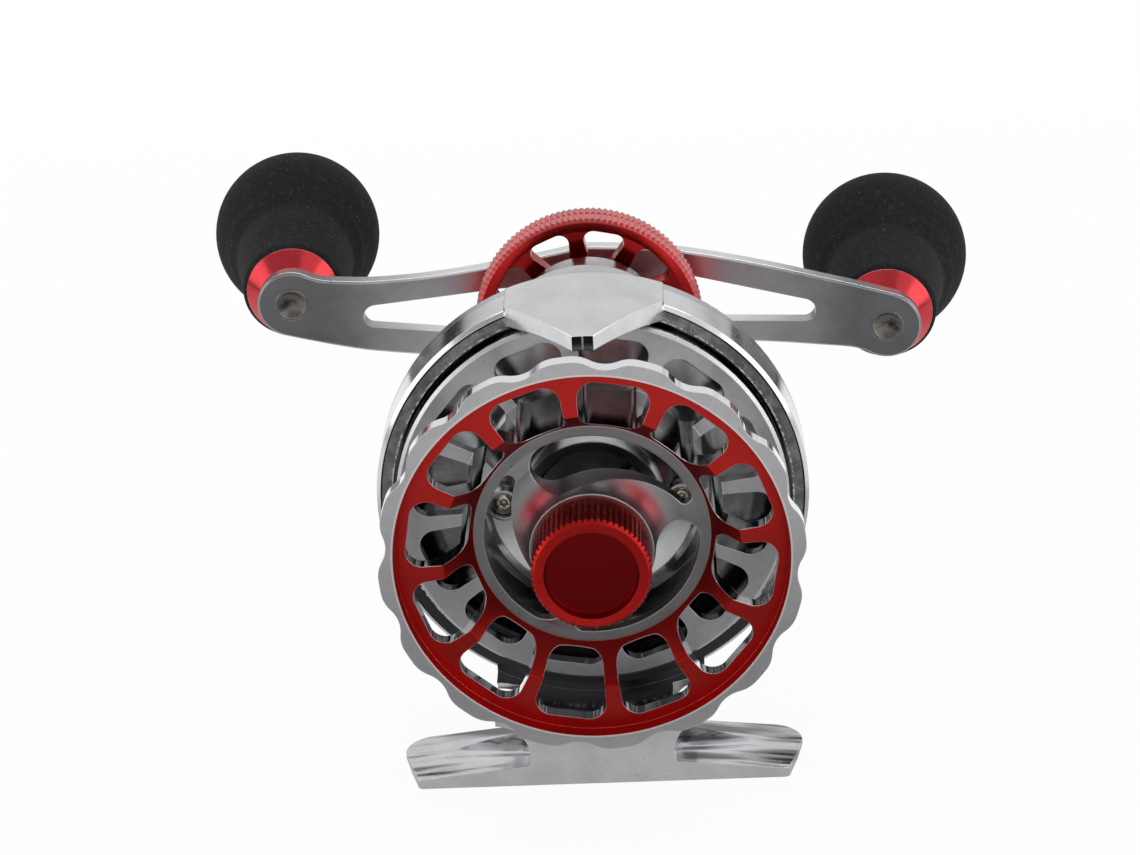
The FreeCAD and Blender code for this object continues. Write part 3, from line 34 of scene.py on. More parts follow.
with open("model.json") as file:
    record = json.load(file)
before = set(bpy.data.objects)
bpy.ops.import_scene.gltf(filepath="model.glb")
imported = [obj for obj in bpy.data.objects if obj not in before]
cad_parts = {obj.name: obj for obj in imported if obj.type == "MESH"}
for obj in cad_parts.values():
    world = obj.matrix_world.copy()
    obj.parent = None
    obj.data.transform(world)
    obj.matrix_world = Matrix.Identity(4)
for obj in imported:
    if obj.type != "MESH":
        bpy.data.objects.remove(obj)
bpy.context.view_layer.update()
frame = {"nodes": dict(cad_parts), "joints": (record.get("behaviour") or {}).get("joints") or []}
nodes = frame["nodes"]
scene = bpy.context.scene
MM = 0.001
SIDES = ("left", "right")


def centre_of(node):
    low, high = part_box(node)
    return (low + high) / 2


def radius_of(node):
    low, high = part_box(node)
    return (high.x - low.x) / 2


spool_axis = centre_of("spool_bearing_front")
handle_axis = centre_of("star_wheel")

# Radii about the spool's axis, and depths behind its face.
RIM_RISE = 2.2 * MM
face_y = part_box("spool")[0].y + RIM_RISE
FRONT = (spool_axis.x, face_y, spool_axis.z)
FACE_RADIUS = 29.95 * MM
LIP_RADIUS = 30.1 * MM
LIP_WIDTH = 0.3 * MM
CREASE_RADIUS = 22.7 * MM
DISH_END = 7.3 * MM
FACE_CONE = 0.12
CAP_RADIUS = 7.05 * MM
CAP_DISH = 0.3
RING_BORE = 31.5 * MM
RING_DEPTH = 20.8 * MM
RING_ROUGH_END = RING_BORE + 1.7 * MM
UNDER_RIM = 35.2 * MM
guard_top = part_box("frame")[1].z - spool_axis.z

# The foot: half the width of its stem, and the height that its wings stay under.
STEM_SIDE = 11.6 * MM
WING_TOP = 9.5 * MM

HAIR = 0.02 * MM


# The camera. Its place is fitted to the photograph.
LENS = 100.0
SENSOR = 36.0
CAMERA_TILT = 23.54
REEL_ROLL = 2.7
REEL_YAW = 0.8
FACE_DISTANCE = 480 * MM
FACE_RIGHT = 3.3 * MM
FACE_UP = -19.25 * MM


def add_camera():
    """The camera looks down on the spool's face, and is turned as the reel was turned before it."""
    tilt = math.radians(CAMERA_TILT)
    right = Vector((1, 0, 0))
    up = Vector((0, math.sin(tilt), math.cos(tilt)))
    ahead = Vector((0, math.cos(tilt), -math.sin(tilt)))
    yaw = Matrix.Rotation(math.radians(-REEL_YAW), 3, "Z")
    roll = Matrix.Rotation(math.radians(-REEL_ROLL), 3, "Y")
    back = (yaw @ roll).inverted()
    away = -right * FACE_RIGHT - up * FACE_UP - ahead * FACE_DISTANCE
    axes = Matrix((back @ right, back @ up, -(back @ ahead))).transposed()
    camera = bpy.data.objects.new("camera", bpy.data.cameras.new("camera"))
    camera.matrix_world = Matrix.Translation(Vector(FRONT) + back @ away) @ axes.to_4x4()
    camera.data.lens = LENS
    camera.data.sensor_width = SENSOR
    camera.data.sensor_fit = "HORIZONTAL"
    camera.data.clip_start = 0.01
    camera.data.clip_end = 20
    scene.collection.objects.link(camera)
    scene.camera = camera


class Nodes:
    """Short ways to make and join the nodes of one tree."""

    def __init__(self, tree, place):
        self.tree = tree
        self.place = self.add("ShaderNodeTexCoord").outputs[place]

    def add(self, kind, **settings):
        node = self.tree.nodes.new(kind)
        for name, value in settings.items():
            setattr(node, name, value)
        return node

    def join(self, source, target):
        """Feed a socket from another socket, or set it to a plain value."""
        if isinstance(source, bpy.types.NodeSocket):
            self.tree.links.new(source, target)
        elif source is not None:
            target.default_value = source

    def math(self, operation, first, second=None, clamp=False):
        node = self.add("ShaderNodeMath", operation=operation, use_clamp=clamp)
        self.join(first, node.inputs[0])
        self.join(second, node.inputs[1])
        return node.outputs[0]

    def times(self, first, *others):
        for other in others:
            first = self.math("MULTIPLY", first, other)
        return first

    def most(self, first, *others):
        for other in others:
            first = self.math("MAXIMUM", first, other)
        return first

    def plus(self, first, second):
        return self.math("ADD", first, second)

    def below(self, value, limit):
        return self.math("LESS_THAN", value, limit)

    def above(self, value, limit):
        return self.math("GREATER_THAN", value, limit)

    def rest(self, share):
        return self.math("SUBTRACT", 1.0, share)

    def absolute(self, value):
        return self.math("ABSOLUTE", value)

    def apart(self, value, other):
        return self.absolute(self.math("SUBTRACT", value, other))

    def step(self, value, start, end, low=0.0, high=1.0):
        """A smooth step from low to high as value goes from start to end."""
        node = self.add("ShaderNodeMapRange", interpolation_type="SMOOTHSTEP")
        for number, given in enumerate((value, start, end, low, high)):
            self.join(given, node.inputs[number])
        return node.outputs[0]

    def band(self, value, low, high, soft):
        """1 where a value lies between two limits."""
        rise = self.step(value, low - soft, low + soft)
        return self.times(rise, self.step(value, high + soft, high - soft))

    def sector(self, turn, low, high, soft):
        """1 where a turn lies between two angles in degrees."""
        return self.band(turn, math.radians(low), math.radians(high), math.radians(soft))

    def mix(self, share, first, second):
        """Mix two colours."""
        node = self.add("ShaderNodeMix", data_type="RGBA")
        self.join(share, node.inputs[0])
        self.join(first, node.inputs[6])
        self.join(second, node.inputs[7])
        return node.outputs[2]

    def blend(self, share, first, second):
        """Mix two numbers."""
        node = self.add("ShaderNodeMix", data_type="FLOAT")
        self.join(share, node.inputs[0])
        self.join(first, node.inputs[2])
        self.join(second, node.inputs[3])
        return node.outputs[0]

    def noise(self, scale, detail=3.0, roughness=0.5, place=None, stretch=None):
        """Noise from 0 to 1, at so many cells per metre, that may be stretched along an axis."""
        place = self.place if place is None else place
        if stretch is not None:
            mapping = self.add("ShaderNodeMapping")
            self.join(place, mapping.inputs[0])
            mapping.inputs["Scale"].default_value = stretch
            place = mapping.outputs[0]
        node = self.add("ShaderNodeTexNoise")
        self.join(place, node.inputs["Vector"])
        node.inputs["Scale"].default_value = scale
        node.inputs["Detail"].default_value = detail
        node.inputs["Roughness"].default_value = roughness
        return node.outputs[0]

    def parts(self, vector):
        node = self.add("ShaderNodeSeparateXYZ")
        self.join(vector, node.inputs[0])
        return node.outputs

    def polar(self, centre):
        """Distance from an axis along Y through a point, the turn about it and the way along it."""
        shift = self.add("ShaderNodeVectorMath", operation="SUBTRACT")
        self.join(self.place, shift.inputs[0])
        shift.inputs[1].default_value = centre
        x, y, z = self.parts(shift.outputs[0])
        squares = self.plus(self.times(x, x), self.times(z, z))
        return self.math("SQRT", squares), self.math("ARCTAN2", z, x), y

    def ring_place(self, radius, depth):
        """Coordinates that only change across the turned rings of a lathe."""
        node = self.add("ShaderNodeCombineXYZ")
        self.join(radius, node.inputs[0])
        self.join(depth, node.inputs[1])
        return node.outputs[0]

    def bump(self, height, distance, strength=1.0, normal=None):
        node = self.add("ShaderNodeBump")
        self.join(strength, node.inputs["Strength"])
        node.inputs["Distance"].default_value = distance
        self.join(height, node.inputs["Height"])
        self.join(normal, node.inputs["Normal"])
        return node.outputs[0]

    def facing(self):
        """How far a face looks back along Y: -1 for one that looks to the front."""
        return self.parts(self.add("ShaderNodeNewGeometry").outputs["True Normal"])[1]

    def scratches(self, amount):
        """Thin lines in several directions."""
        lines = []
        for turn in (0.3, 1.2, 2.1, 2.8):
            mapping = self.add("ShaderNodeMapping")
            self.join(self.place, mapping.inputs[0])
            mapping.inputs["Rotation"].default_value = (turn * 0.4, turn, turn * 0.7)
            field = self.noise(420, 1, 0.4, place=mapping.outputs[0], stretch=(1, 1, 0.06))
            patch = self.step(self.noise(210 + 40 * turn, 1, 0.5), 0.5, 0.62, 0.0, amount)
            lines.append(self.times(self.band(field, 0.496, 0.504, 0.003), patch))
        return self.most(*lines)

    def edge(self, radius, start=0.997, end=0.92):
        """How much of an edge a point lies on, for worn edges and painted edge highlights, and the
        normal of that rounded edge.
        """
        bevel = self.add("ShaderNodeBevel", samples=4)
        bevel.inputs["Radius"].default_value = radius
        geometry = self.add("ShaderNodeNewGeometry")
        dot = self.add("ShaderNodeVectorMath", operation="DOT_PRODUCT")
        self.join(bevel.outputs[0], dot.inputs[0])
        self.join(geometry.outputs["Normal"], dot.inputs[1])
        return self.step(dot.outputs["Value"], start, end), bevel.outputs[0]

    def rays(self):
        """Whether a ray is the camera's, a reflected or clear one, a reflected or a diffuse one."""
        path = self.add("ShaderNodeLightPath").outputs
        gloss = path["Is Glossy Ray"]
        thrown = self.most(gloss, path["Is Transmission Ray"])
        return path["Is Camera Ray"], thrown, gloss, path["Is Diffuse Ray"]


class Shader(Nodes):
    """The nodes of one material."""

    def __init__(self, name):
        self.material = bpy.data.materials.new(name)
        self.material.use_nodes = True
        super().__init__(self.material.node_tree, "Object")
        self.surface = self.tree.nodes["Principled BSDF"]

    def set(self, **values):
        """Set the surface's sockets, named with _ for a space."""
        for name, value in values.items():
            self.join(value, self.surface.inputs[name.replace("_", " ")])


def grey(level, blue=None):
    """A grey, with its blue a little apart where given."""
    return (level, level, level if blue is None else blue, 1)


def scaled(colour, share):
    return [part * share for part in colour[:3]] + [1]


CHROME = (0.70, 0.705, 0.72, 1)
SATIN = grey(0.56, 0.575)
DULL = grey(0.42, 0.43)
WALL_SILVER = grey(0.86, 0.88)
EDGE_HIGHLIGHT_SILVER = grey(0.96, 0.97)
WORN_EDGE_SHINE = grey(0.95, 0.96)
WORN_SILVER = grey(0.95, 0.97)
BLACK = grey(0.02, 0.022)
STEEL_AND_SHADE_BLACK = grey(0.03, 0.032)
RED = (0.52, 0.020, 0.018, 1)
DEEP_RED = (0.19, 0.007, 0.008, 1)


def metal(name, colour, roughness, centre=None, rings=8000, grain=0.0, specks=0.3,
          scratches=0.0, wear=0.1, waves=0.0, coat=0.0, worn_edge_shine=0.0):
    """A worked metal: turned rings, blasted grain, specks, scratches, soft waves, and worn edges
    with a painted highlight on them.

    Lengths are in millimetres. The shader keeps its colour, roughness and normal, to build on."""
    shader = Shader(name)
    radius, _, depth = shader.polar(centre or spool_axis)
    edge, normal = shader.edge(wear * MM)
    cloud = shader.noise(140, 4, 0.6)
    fine = shader.noise(1500, 3, 0.6)
    tint = shader.mix(shader.step(cloud, 0.3, 0.7), scaled(colour, 0.86), colour)
    if waves:
        normal = shader.bump(shader.noise(110, 2, 0.5), waves * MM, 1.0, normal)
    if rings:
        groove = shader.noise(rings, 2, place=shader.ring_place(radius, depth))
        normal = shader.bump(groove, 0.0015 * MM, 1.0, normal)
        roughness = shader.blend(groove, roughness - 0.04, roughness + 0.04)
    if grain:
        normal = shader.bump(shader.noise(5200, 2, 0.6), grain * MM, 1.0, normal)
    if specks:
        dark = shader.step(shader.noise(1900, 1, 0.5), 0.72, 0.78, 0.0, specks)
        tint = shader.mix(dark, tint, scaled(colour, 0.25))
    if scratches:
        line = shader.scratches(scratches)
        normal = shader.bump(line, -0.004 * MM, 1.0, normal)
        tint = shader.mix(shader.times(line, 0.35), tint, scaled(colour, 0.35))
    # Edges worn bright, and painted brighter still as a highlight.
    if worn_edge_shine:
        tint = shader.mix(shader.times(edge, worn_edge_shine), tint, WORN_EDGE_SHINE)
    rough = shader.plus(roughness, shader.step(fine, 0.3, 0.75, -0.02, 0.05))
    shader.set(Base_Color=tint, Metallic=1.0, Roughness=rough, Normal=normal)
    if coat:
        shader.set(Coat_Weight=1.0, Coat_Roughness=coat, Coat_IOR=1.4, Coat_Normal=normal)
    shader.tint = tint
    shader.rough = rough
    shader.normal = normal
    return shader


def spool_material():
    """Red anodised face and dish on a bare machined spool, with milled silver window walls."""
    shader = Shader("spool_metal")
    radius, turn, depth = shader.polar(FRONT)
    facing = shader.facing()
    rings = shader.noise(7000, 2, place=shader.ring_place(radius, depth))
    dust = shader.noise(2300, 1, 0.5)
    edge, normal = shader.edge(0.16 * MM)

    # Where the spool is red: the face with its dish, and the low bank that rises to the lip.
    front = shader.below(facing, -0.3)
    near = shader.below(depth, DISH_END)
    face = shader.times(front, near)
    bank = shader.times(
        shader.band(radius, FACE_RADIUS - 0.05 * MM, LIP_RADIUS + 0.05 * MM, 0.01 * MM),
        shader.below(depth, -HAIR), shader.above(depth, 0.08 * MM - RIM_RISE))
    floor = shader.times(face, shader.below(radius, LIP_RADIUS))
    red = shader.most(bank, floor)
    wall = shader.times(shader.below(shader.absolute(facing), 0.3), shader.rest(bank))
    lip_highlight = shader.times(face, shader.band(radius, LIP_RADIUS, LIP_RADIUS + LIP_WIDTH, 0.05 * MM),
                       shader.below(depth, 0.0))

    # The bare metal: brighter on walls; on edges worn bright and with a painted highlight; with
    # painted shade on the back of the face and on the flange.
    mottle = shader.step(shader.noise(620, 4, 0.65), 0.35, 0.65)
    silver = shader.mix(mottle, scaled(SATIN, 1.06), scaled(SATIN, 1.14))
    silver = shader.mix(shader.step(dust, 0.73, 0.77, 0.0, 0.6), silver, scaled(SATIN, 0.3))
    silver = shader.mix(shader.times(wall, 0.85), silver, WALL_SILVER)
    # A painted highlight on the edges, over the wear.
    silver = shader.mix(shader.times(edge, 0.8), silver, EDGE_HIGHLIGHT_SILVER)
    # A painted pinkish highlight along the lip round the face.
    silver = shader.mix(lip_highlight, silver, (0.95, 0.88, 0.88, 1))
    # Painted shade on the back of the face and on the flange.
    back = shader.times(shader.above(facing, 0.3), shader.below(depth, 4 * MM))
    flange = shader.times(front, shader.rest(near))
    painted_shade = shader.plus(shader.times(back, 0.4), shader.times(flange, 0.1))
    silver = shader.mix(painted_shade, silver, grey(0.02))

    # Painted on the walls: a dark red reflection of the dish at the top, and painted shade deep
    # inside.
    top_reflection = shader.times(wall, shader.sector(turn, 68, 112, 4),
                       shader.step(depth, 3.4 * MM, 4.0 * MM, 0.0, 0.75))
    bright = shader.step(turn, math.radians(92), math.radians(76))
    painted_red_reflection = shader.mix(bright, (0.05, 0.016, 0.018, 1), (0.24, 0.016, 0.024, 1))
    silver = shader.mix(top_reflection, silver, painted_red_reflection)
    deep_shade = shader.times(wall, shader.step(depth, 10.5 * MM, 13.0 * MM, 0.0, 0.5))
    silver = shader.mix(deep_shade, silver, grey(0.07, 0.075))

    # The anodising, rubbed through at the windows' edges but not at the crease of the face.
    cloud = shader.step(shader.noise(150, 4, 0.6), 0.3, 0.7)
    anodised = shader.mix(cloud, (0.50, 0.026, 0.022, 1), (0.56, 0.030, 0.026, 1))
    dusty = shader.step(dust, 0.75, 0.79, 0.0, 0.35)
    anodised = shader.mix(dusty, anodised, (0.75, 0.12, 0.11, 1))
    off_crease = shader.above(shader.apart(radius, CREASE_RADIUS), 0.3 * MM)
    inside = shader.step(radius, 28.9 * MM, 28.6 * MM)
    bared = shader.times(edge, shader.times(off_crease, inside), 0.6)
    kept = shader.times(red, shader.rest(bared))
    shader.set(Base_Color=shader.mix(kept, silver, anodised), Metallic=1.0)

    # A cutter leaves streaks along the walls, and a lathe leaves rings on the rest.
    milled = shader.noise(2200, 3, 0.6, stretch=(1, 0.02, 1))
    plain = shader.blend(rings, 0.33, 0.42)
    rough = shader.blend(wall, plain, shader.step(milled, 0.3, 0.7, 0.03, 0.11))
    shader.set(Roughness=shader.blend(red, rough, shader.blend(rings, 0.36, 0.44)))
    normal = shader.bump(radius, -FACE_CONE, floor, normal)
    normal = shader.bump(rings, 0.0025 * MM, 1.0, normal)
    shader.set(Normal=shader.bump(milled, 0.003 * MM, wall, normal))
    return shader


def knob_material():
    """Red anodised knob: a dark cap in the middle, and a dished band cut bright round it."""
    shader = metal("knob_red", RED, 0.24, FRONT, rings=0, specks=0.1, wear=0.14)
    radius = shader.polar(FRONT)[0]
    front = shader.below(shader.facing(), -0.9)
    cap = shader.times(front, shader.below(radius, CAP_RADIUS))
    band = shader.math("SUBTRACT", front, cap)
    shader.set(Base_Color=shader.mix(cap, shader.tint, DEEP_RED))
    shader.set(Roughness=shader.blend(cap, shader.rough, 0.4))
    shader.set(Normal=shader.bump(radius, CAP_DISH, band, shader.normal))
    return shader


def hub_material():
    """Bead-blasted hub with cut edges worn bright and painted as a highlight, and a painted red
    reflection of the knob on its neck.
    """
    shader = metal("hub_metal", scaled(DULL, 0.68), 0.36, FRONT, rings=0, grain=0.03, specks=0.7,
                   wear=0.3, worn_edge_shine=1.0)
    radius, turn, depth = shader.polar(FRONT)
    # A painted red reflection of the knob on the upper part of the neck.
    neck = shader.band(radius, 9.7 * MM, 11.6 * MM, 1.0 * MM)
    upper = shader.band(shader.apart(turn, math.pi / 2), 0.5, 1.25, 0.25)
    glow = shader.times(neck, upper, 0.85, shader.below(depth, 7.2 * MM))
    shader.set(Base_Color=shader.mix(glow, shader.tint, (0.50, 0.06, 0.07, 1)))
    return shader


def arm_material():
    """Brushed arm, with a painted highlight that makes it lighter towards its middle."""
    shader = metal("arm_metal", grey(0.22, 0.228), 0.34, handle_axis, rings=0, grain=0.01,
                   wear=0.2, scratches=0.5, worn_edge_shine=0.7)
    # Painted highlight: lighter towards the arm's middle.
    reach = shader.absolute(shader.parts(shader.place)[0])
    mottle = shader.times(shader.noise(260, 4, 0.6), 8 * MM)
    middle = shader.step(shader.plus(reach, mottle), 50 * MM, 24 * MM, 0.0, 0.75)
    shader.set(Base_Color=shader.mix(middle, shader.tint, grey(0.85, 0.87)))
    return shader


def rivet_material(side):
    """A dished rivet head with a rim worn bright and painted as a highlight, and a dull brown
    middle.
    """
    centre = centre_of("knob_post_" + side)
    shader = metal("rivet_" + side, (0.17, 0.16, 0.15, 1), 0.26, centre, specks=0.5, wear=0.14,
                   worn_edge_shine=0.5)
    middle = shader.step(shader.polar(centre)[0], 1.3 * MM, 0.2 * MM)
    dirt = shader.step(shader.noise(900, 3, 0.6), 0.35, 0.65, 0.6, 1.0)
    brown = (0.07, 0.05, 0.04, 1)
    shader.set(Base_Color=shader.mix(shader.times(middle, dirt), shader.tint, brown))
    return shader


def frame_material():
    """Polished plated casting, with a rough front on its ring, painted shade, reflections and
    highlights in places, and painted reflection streaks on its foot.
    """
    shader = metal("casting", CHROME, 0.14, FRONT, rings=0, waves=0.02, specks=0.35, wear=0.24,
                   worn_edge_shine=0.6)
    radius, turn, depth = shader.polar(FRONT)
    facing = shader.facing()
    front = shader.below(facing, -0.95)
    dots = shader.step(shader.noise(1500, 2, 0.7), 0.45, 0.6)
    mottle = shader.noise(480, 5, 0.7)

    # The ring's front: rough and scratched, worn bright at the bore, with a dark line outside.
    beyond_bore = shader.above(radius, RING_BORE + HAIR)
    ring = shader.times(
        front, beyond_bore,
        shader.band(depth, RING_DEPTH - 0.2 * MM, RING_DEPTH + 0.3 * MM, 0.01 * MM))
    rough_part = shader.times(ring, shader.below(radius, RING_ROUGH_END))
    outline = shader.band(radius, RING_ROUGH_END, RING_ROUGH_END + 0.25 * MM, 0.05 * MM)
    shaky = shader.plus(radius, shader.times(shader.noise(900, 3), 0.25 * MM))
    worn = shader.times(ring, shader.below(shaky, RING_BORE + 0.32 * MM))
    dark = shader.mix(shader.step(mottle, 0.35, 0.7), (0.20, 0.203, 0.21, 1),
                      (0.40, 0.405, 0.42, 1))
    dark = shader.mix(shader.times(shader.scratches(1.0), 0.8), dark, grey(0.65, 0.67))
    tint = shader.mix(rough_part, shader.tint, dark)
    tint = shader.mix(shader.times(worn, dots), tint, WORN_SILVER)
    tint = shader.mix(shader.times(ring, outline), tint, BLACK)

    # Painted shade low on the front, where the spool's rim stands before the casting.
    rim_shade = shader.times(front, shader.step(radius, UNDER_RIM + 0.3 * MM, UNDER_RIM - 0.3 * MM),
                         shader.step(turn, -0.5, -0.7), beyond_bore)
    tint = shader.mix(rim_shade, tint, grey(0.06, 0.065))

    # The line guard's tip: a facet painted dark as a reflection, with a painted highlight line down
    # the middle.
    tip = shader.times(front, shader.below(depth, RING_DEPTH - 0.6 * MM),
                       shader.step(radius, 25 * MM, 26 * MM), shader.above(turn, 0.0))
    shine = shader.mix(shader.step(radius, guard_top - 4.2 * MM, guard_top - 2.6 * MM),
                       grey(0.45, 0.46), grey(0.03))
    middle = shader.band(turn, math.pi / 2 - 0.004, math.pi / 2 + 0.004, 0.002)
    tint = shader.mix(tip, tint, shader.mix(middle, shine, grey(0.9)))

    # The plate behind the spool, as the windows show it: painted shade, patchy, with a painted dark
    # red reflection of the knob over the hub.
    plate = shader.times(shader.band(radius, 18.5 * MM, RING_BORE, 0.5 * MM),
                         shader.above(depth, RING_DEPTH + 0.8 * MM))
    outer = shader.step(radius, 24.5 * MM, 26 * MM)
    patchy_shade = shader.step(shader.noise(170, 2, 0.5), 0.4, 0.62, 0.45, 0.62)
    patchy_shade = shader.most(patchy_shade, shader.times(outer, 0.85))
    glow = shader.math("SUBTRACT", shader.sector(turn, 76, 106, 8), outer, clamp=True)
    shade = shader.mix(glow, STEEL_AND_SHADE_BLACK, (0.34, 0.016, 0.02, 1))
    tint = shader.mix(shader.times(plate, patchy_shade), tint, shade)

    # The bore's chamfer, worn in dots.
    chamfer = shader.times(
        shader.band(radius, RING_BORE - 1.0 * MM, RING_BORE + 0.3 * MM, 0.02 * MM),
        shader.band(depth, RING_DEPTH - 0.3 * MM, RING_DEPTH + 0.7 * MM, 0.02 * MM))
    tint = shader.mix(shader.times(chamfer, dots), tint, WORN_SILVER)

    # The foot's wings, with waves of an uneven polish along them, and painted dark reflection
    # streaks that follow the waves.
    streak = shader.noise(280, 2, 0.5, stretch=(0.09, 1, 1))
    across, _, up = shader.parts(shader.place)
    wing = shader.times(
        shader.above(facing, -0.93), shader.step(depth, 6 * MM, 7 * MM),
        shader.below(up, WING_TOP),
        shader.step(shader.apart(across, spool_axis.x), STEM_SIDE, STEM_SIDE + 1.5 * MM))
    tint = shader.mix(shader.times(wing, shader.step(streak, 0.5, 0.64, 0.0, 0.75)), tint, STEEL_AND_SHADE_BLACK)

    shader.set(Base_Color=tint, Roughness=shader.blend(rough_part, shader.rough, 0.34))
    normal = shader.bump(mottle, 0.05 * MM, rough_part, shader.normal)
    normal = shader.bump(streak, 0.22 * MM, wing, normal)
    shader.set(Normal=shader.bump(dots, 0.06 * MM, worn, normal))
    return shader


def foam_material():
    """Closed-cell foam with a fuzzy skin and a few grains of dust."""
    shader = Shader("foam")
    pores = shader.noise(3400, 5, 0.75)
    fuzz = shader.noise(900, 4, 0.6)
    cloud = shader.step(shader.noise(80, 3, 0.5), 0.3, 0.7)
    speck = shader.step(shader.noise(1250, 1, 0.5), 0.755, 0.79)
    base = shader.mix(cloud, grey(0.030, 0.0312), (0.040, 0.0392, 0.0394, 1))
    base = shader.mix(shader.step(pores, 0.38, 0.66), grey(0.016), base)
    base = shader.mix(shader.step(fuzz, 0.52, 0.75, 0.0, 0.6), base, (0.054, 0.053, 0.052, 1))
    shader.set(Base_Color=shader.mix(speck, base, (0.09, 0.085, 0.07, 1)), Roughness=0.95)
    normal = shader.bump(fuzz, 0.10 * MM, 0.6)
    shader.set(Normal=shader.bump(pores, 0.05 * MM, 0.9, normal))
    shader.set(Diffuse_Roughness=1.0, Sheen_Weight=0.05, Sheen_Roughness=0.35,
               Specular_IOR_Level=0.02)
    return shader


# The stage.
FLOOR_HALF = 0.55
FLOOR_FRONT = -0.105
FLOOR_BACK = 0.36
FLOOR_DROP = 0.05 * MM
FLOOR_FADE = 0.06
FLOOR_SHARE = 0.93
FLOOR_WHITE = grey(0.95)


def add_stage():
    """A plain white floor. Its rim is as white as the world round it, so that it shows no edge."""
    mesh = bpy.data.meshes.new("floor")
    low = -FLOOR_DROP
    mesh.from_pydata([(-FLOOR_HALF, FLOOR_FRONT, low), (FLOOR_HALF, FLOOR_FRONT, low),
                      (FLOOR_HALF, FLOOR_BACK, low), (-FLOOR_HALF, FLOOR_BACK, low)],
                     [], [(0, 1, 2, 3)])
    floor = bpy.data.objects.new("floor", mesh)
    scene.collection.objects.link(floor)
    shader = Shader("white_paper")
    camera_ray, thrown, gloss, _ = shader.rays()
    x, y, _ = shader.parts(shader.place)
    x = shader.absolute(x)

    # In plain view the paper glows, which leaves a small share to the light and its shadows.
    rim = [shader.step(x, FLOOR_HALF - FLOOR_FADE, FLOOR_HALF, FLOOR_SHARE, 1.0),
           shader.step(y, FLOOR_FRONT + FLOOR_FADE, FLOOR_FRONT, FLOOR_SHARE, 1.0),
           shader.step(y, FLOOR_BACK - FLOOR_FADE, FLOOR_BACK, FLOOR_SHARE, 1.0)]
    share = shader.times(shader.most(camera_ray, thrown), shader.most(*rim))

    # A painted shadow: in reflections it is darker close to the reel, where the reel keeps the
    # light off it.
    lit = shader.most(shader.step(x, 0.07, 0.17, 0.2, 1.0), shader.step(y, 0.0, 0.06),
                      shader.step(y, -0.05, -0.016, 0.2, 0.55))
    painted_shade = shader.times(gloss, shader.rest(lit))
    shader.set(Base_Color=shader.mix(painted_shade, FLOOR_WHITE, grey(0.3)), Roughness=0.9)
    glow = shader.add("ShaderNodeEmission")
    shader.join(shader.blend(gloss, 1.0, lit), glow.inputs["Strength"])
    both = shader.add("ShaderNodeMixShader")
    shader.join(share, both.inputs[0])
    shader.join(shader.surface.outputs[0], both.inputs[1])
    shader.join(glow.outputs[0], both.inputs[2])
    shader.join(both.outputs[0], shader.tree.nodes["Material Output"].inputs["Surface"])
    mesh.materials.append(shader.material)


def add_lamp(name, place, size, radiance):
    """A soft box with a given brightness, aimed at the middle of the reel."""
    lamp = bpy.data.lights.new(name, "AREA")
    lamp.shape = "RECTANGLE"
    lamp.size, lamp.size_y = size
    lamp.energy = radiance * math.pi * size[0] * size[1]
    holder = bpy.data.objects.new(name, lamp)
    holder.location = place
    aim = Vector((0, 0, 0.05)) - Vector(place)
    holder.rotation_euler = aim.to_track_quat("-Z", "Y").to_euler()
    holder.visible_camera = False
    holder.visible_diffuse = False
    scene.collection.objects.link(holder)


def add_lights():
    """Soft boxes, in a room that is dark behind the table's edge and bright overhead."""
    add_lamp("top_light", (0, 0.26, 0.62), (0.9, 0.32), 2.3)
    add_lamp("left_light", (-0.75, -0.05, 0.30), (0.45, 0.5), 1.2)
    add_lamp("right_light", (0.75, -0.05, 0.30), (0.45, 0.5), 1.2)
    world = bpy.data.worlds.new("studio")
    scene.world = world
    world.use_nodes = True
    sky = Nodes(world.node_tree, "Generated")
    x, y, z = sky.parts(sky.place)
    sideways = sky.absolute(x)

    # What the metal sees behind the reel and before it, from the table's edge to overhead.
    behind = sky.plus(sky.step(z, 0.03, 0.2, 0.17, 0.8), sky.step(z, 0.6, 0.95, 0.0, -0.3))
    table = sky.step(sideways, 0.05, 0.15, 0.9, 0.3)
    before = sky.blend(sky.step(z, -0.34, -0.2), table, sky.step(z, -0.2, 0.0, 0.55, 0.85))
    before = sky.plus(before, sky.step(z, 0.12, 0.45, 0.0, -0.45))
    level = sky.blend(sky.step(y, 0.15, -0.25), behind, before)

    # Bright walls at both sides, and a window to the right.
    side = sky.times(sky.step(sideways, 0.72, 0.92), sky.step(z, -0.1, 0.05, 0.0, 0.75))
    window = sky.times(sky.step(x, 0.3, 0.42), sky.step(z, -0.1, 0.02, 0.0, 0.95))
    level = sky.most(level, side, window)

    # Diffuse surfaces get an even light, and the camera sees white.
    camera_ray, thrown, _, diffuse_ray = sky.rays()
    level = sky.blend(diffuse_ray, level, 0.95)
    white = sky.most(camera_ray, sky.times(0.12, thrown))
    background = world.node_tree.nodes["Background"]
    background.inputs["Color"].default_value = (1, 1, 1, 1)
    sky.join(sky.blend(white, level, 1.0), background.inputs["Strength"])
    scene.view_settings.view_transform = "Standard"


def tube_faces(rings, segments):
    """The faces between rings of points, each ring with the same number of them."""
    faces = []
    for first in range(0, (rings - 1) * segments, segments):
        for number in range(segments):
            following = (number + 1) % segments
            faces.append((first + number, first + following,
                          first + segments + following, first + segments + number))
    return faces


def add_mesh(name, points, faces):
    mesh = bpy.data.meshes.new(name)
    mesh.from_pydata(points, [], faces)
    piece = bpy.data.objects.new(name, mesh)
    scene.collection.objects.link(piece)
    return piece


# The knurl of the star wheel. A tooth's shape is its height at points along it.
KNURL_TEETH = 120
KNURL_SHAPE = (0.0, 0.55, 1.0, 0.55)
KNURL_HEIGHT = 0.3 * MM
KNURL_EDGE = 0.4 * MM
GROOVE_HALF = 0.5 * MM
GROOVE_DEPTH = 0.25 * MM


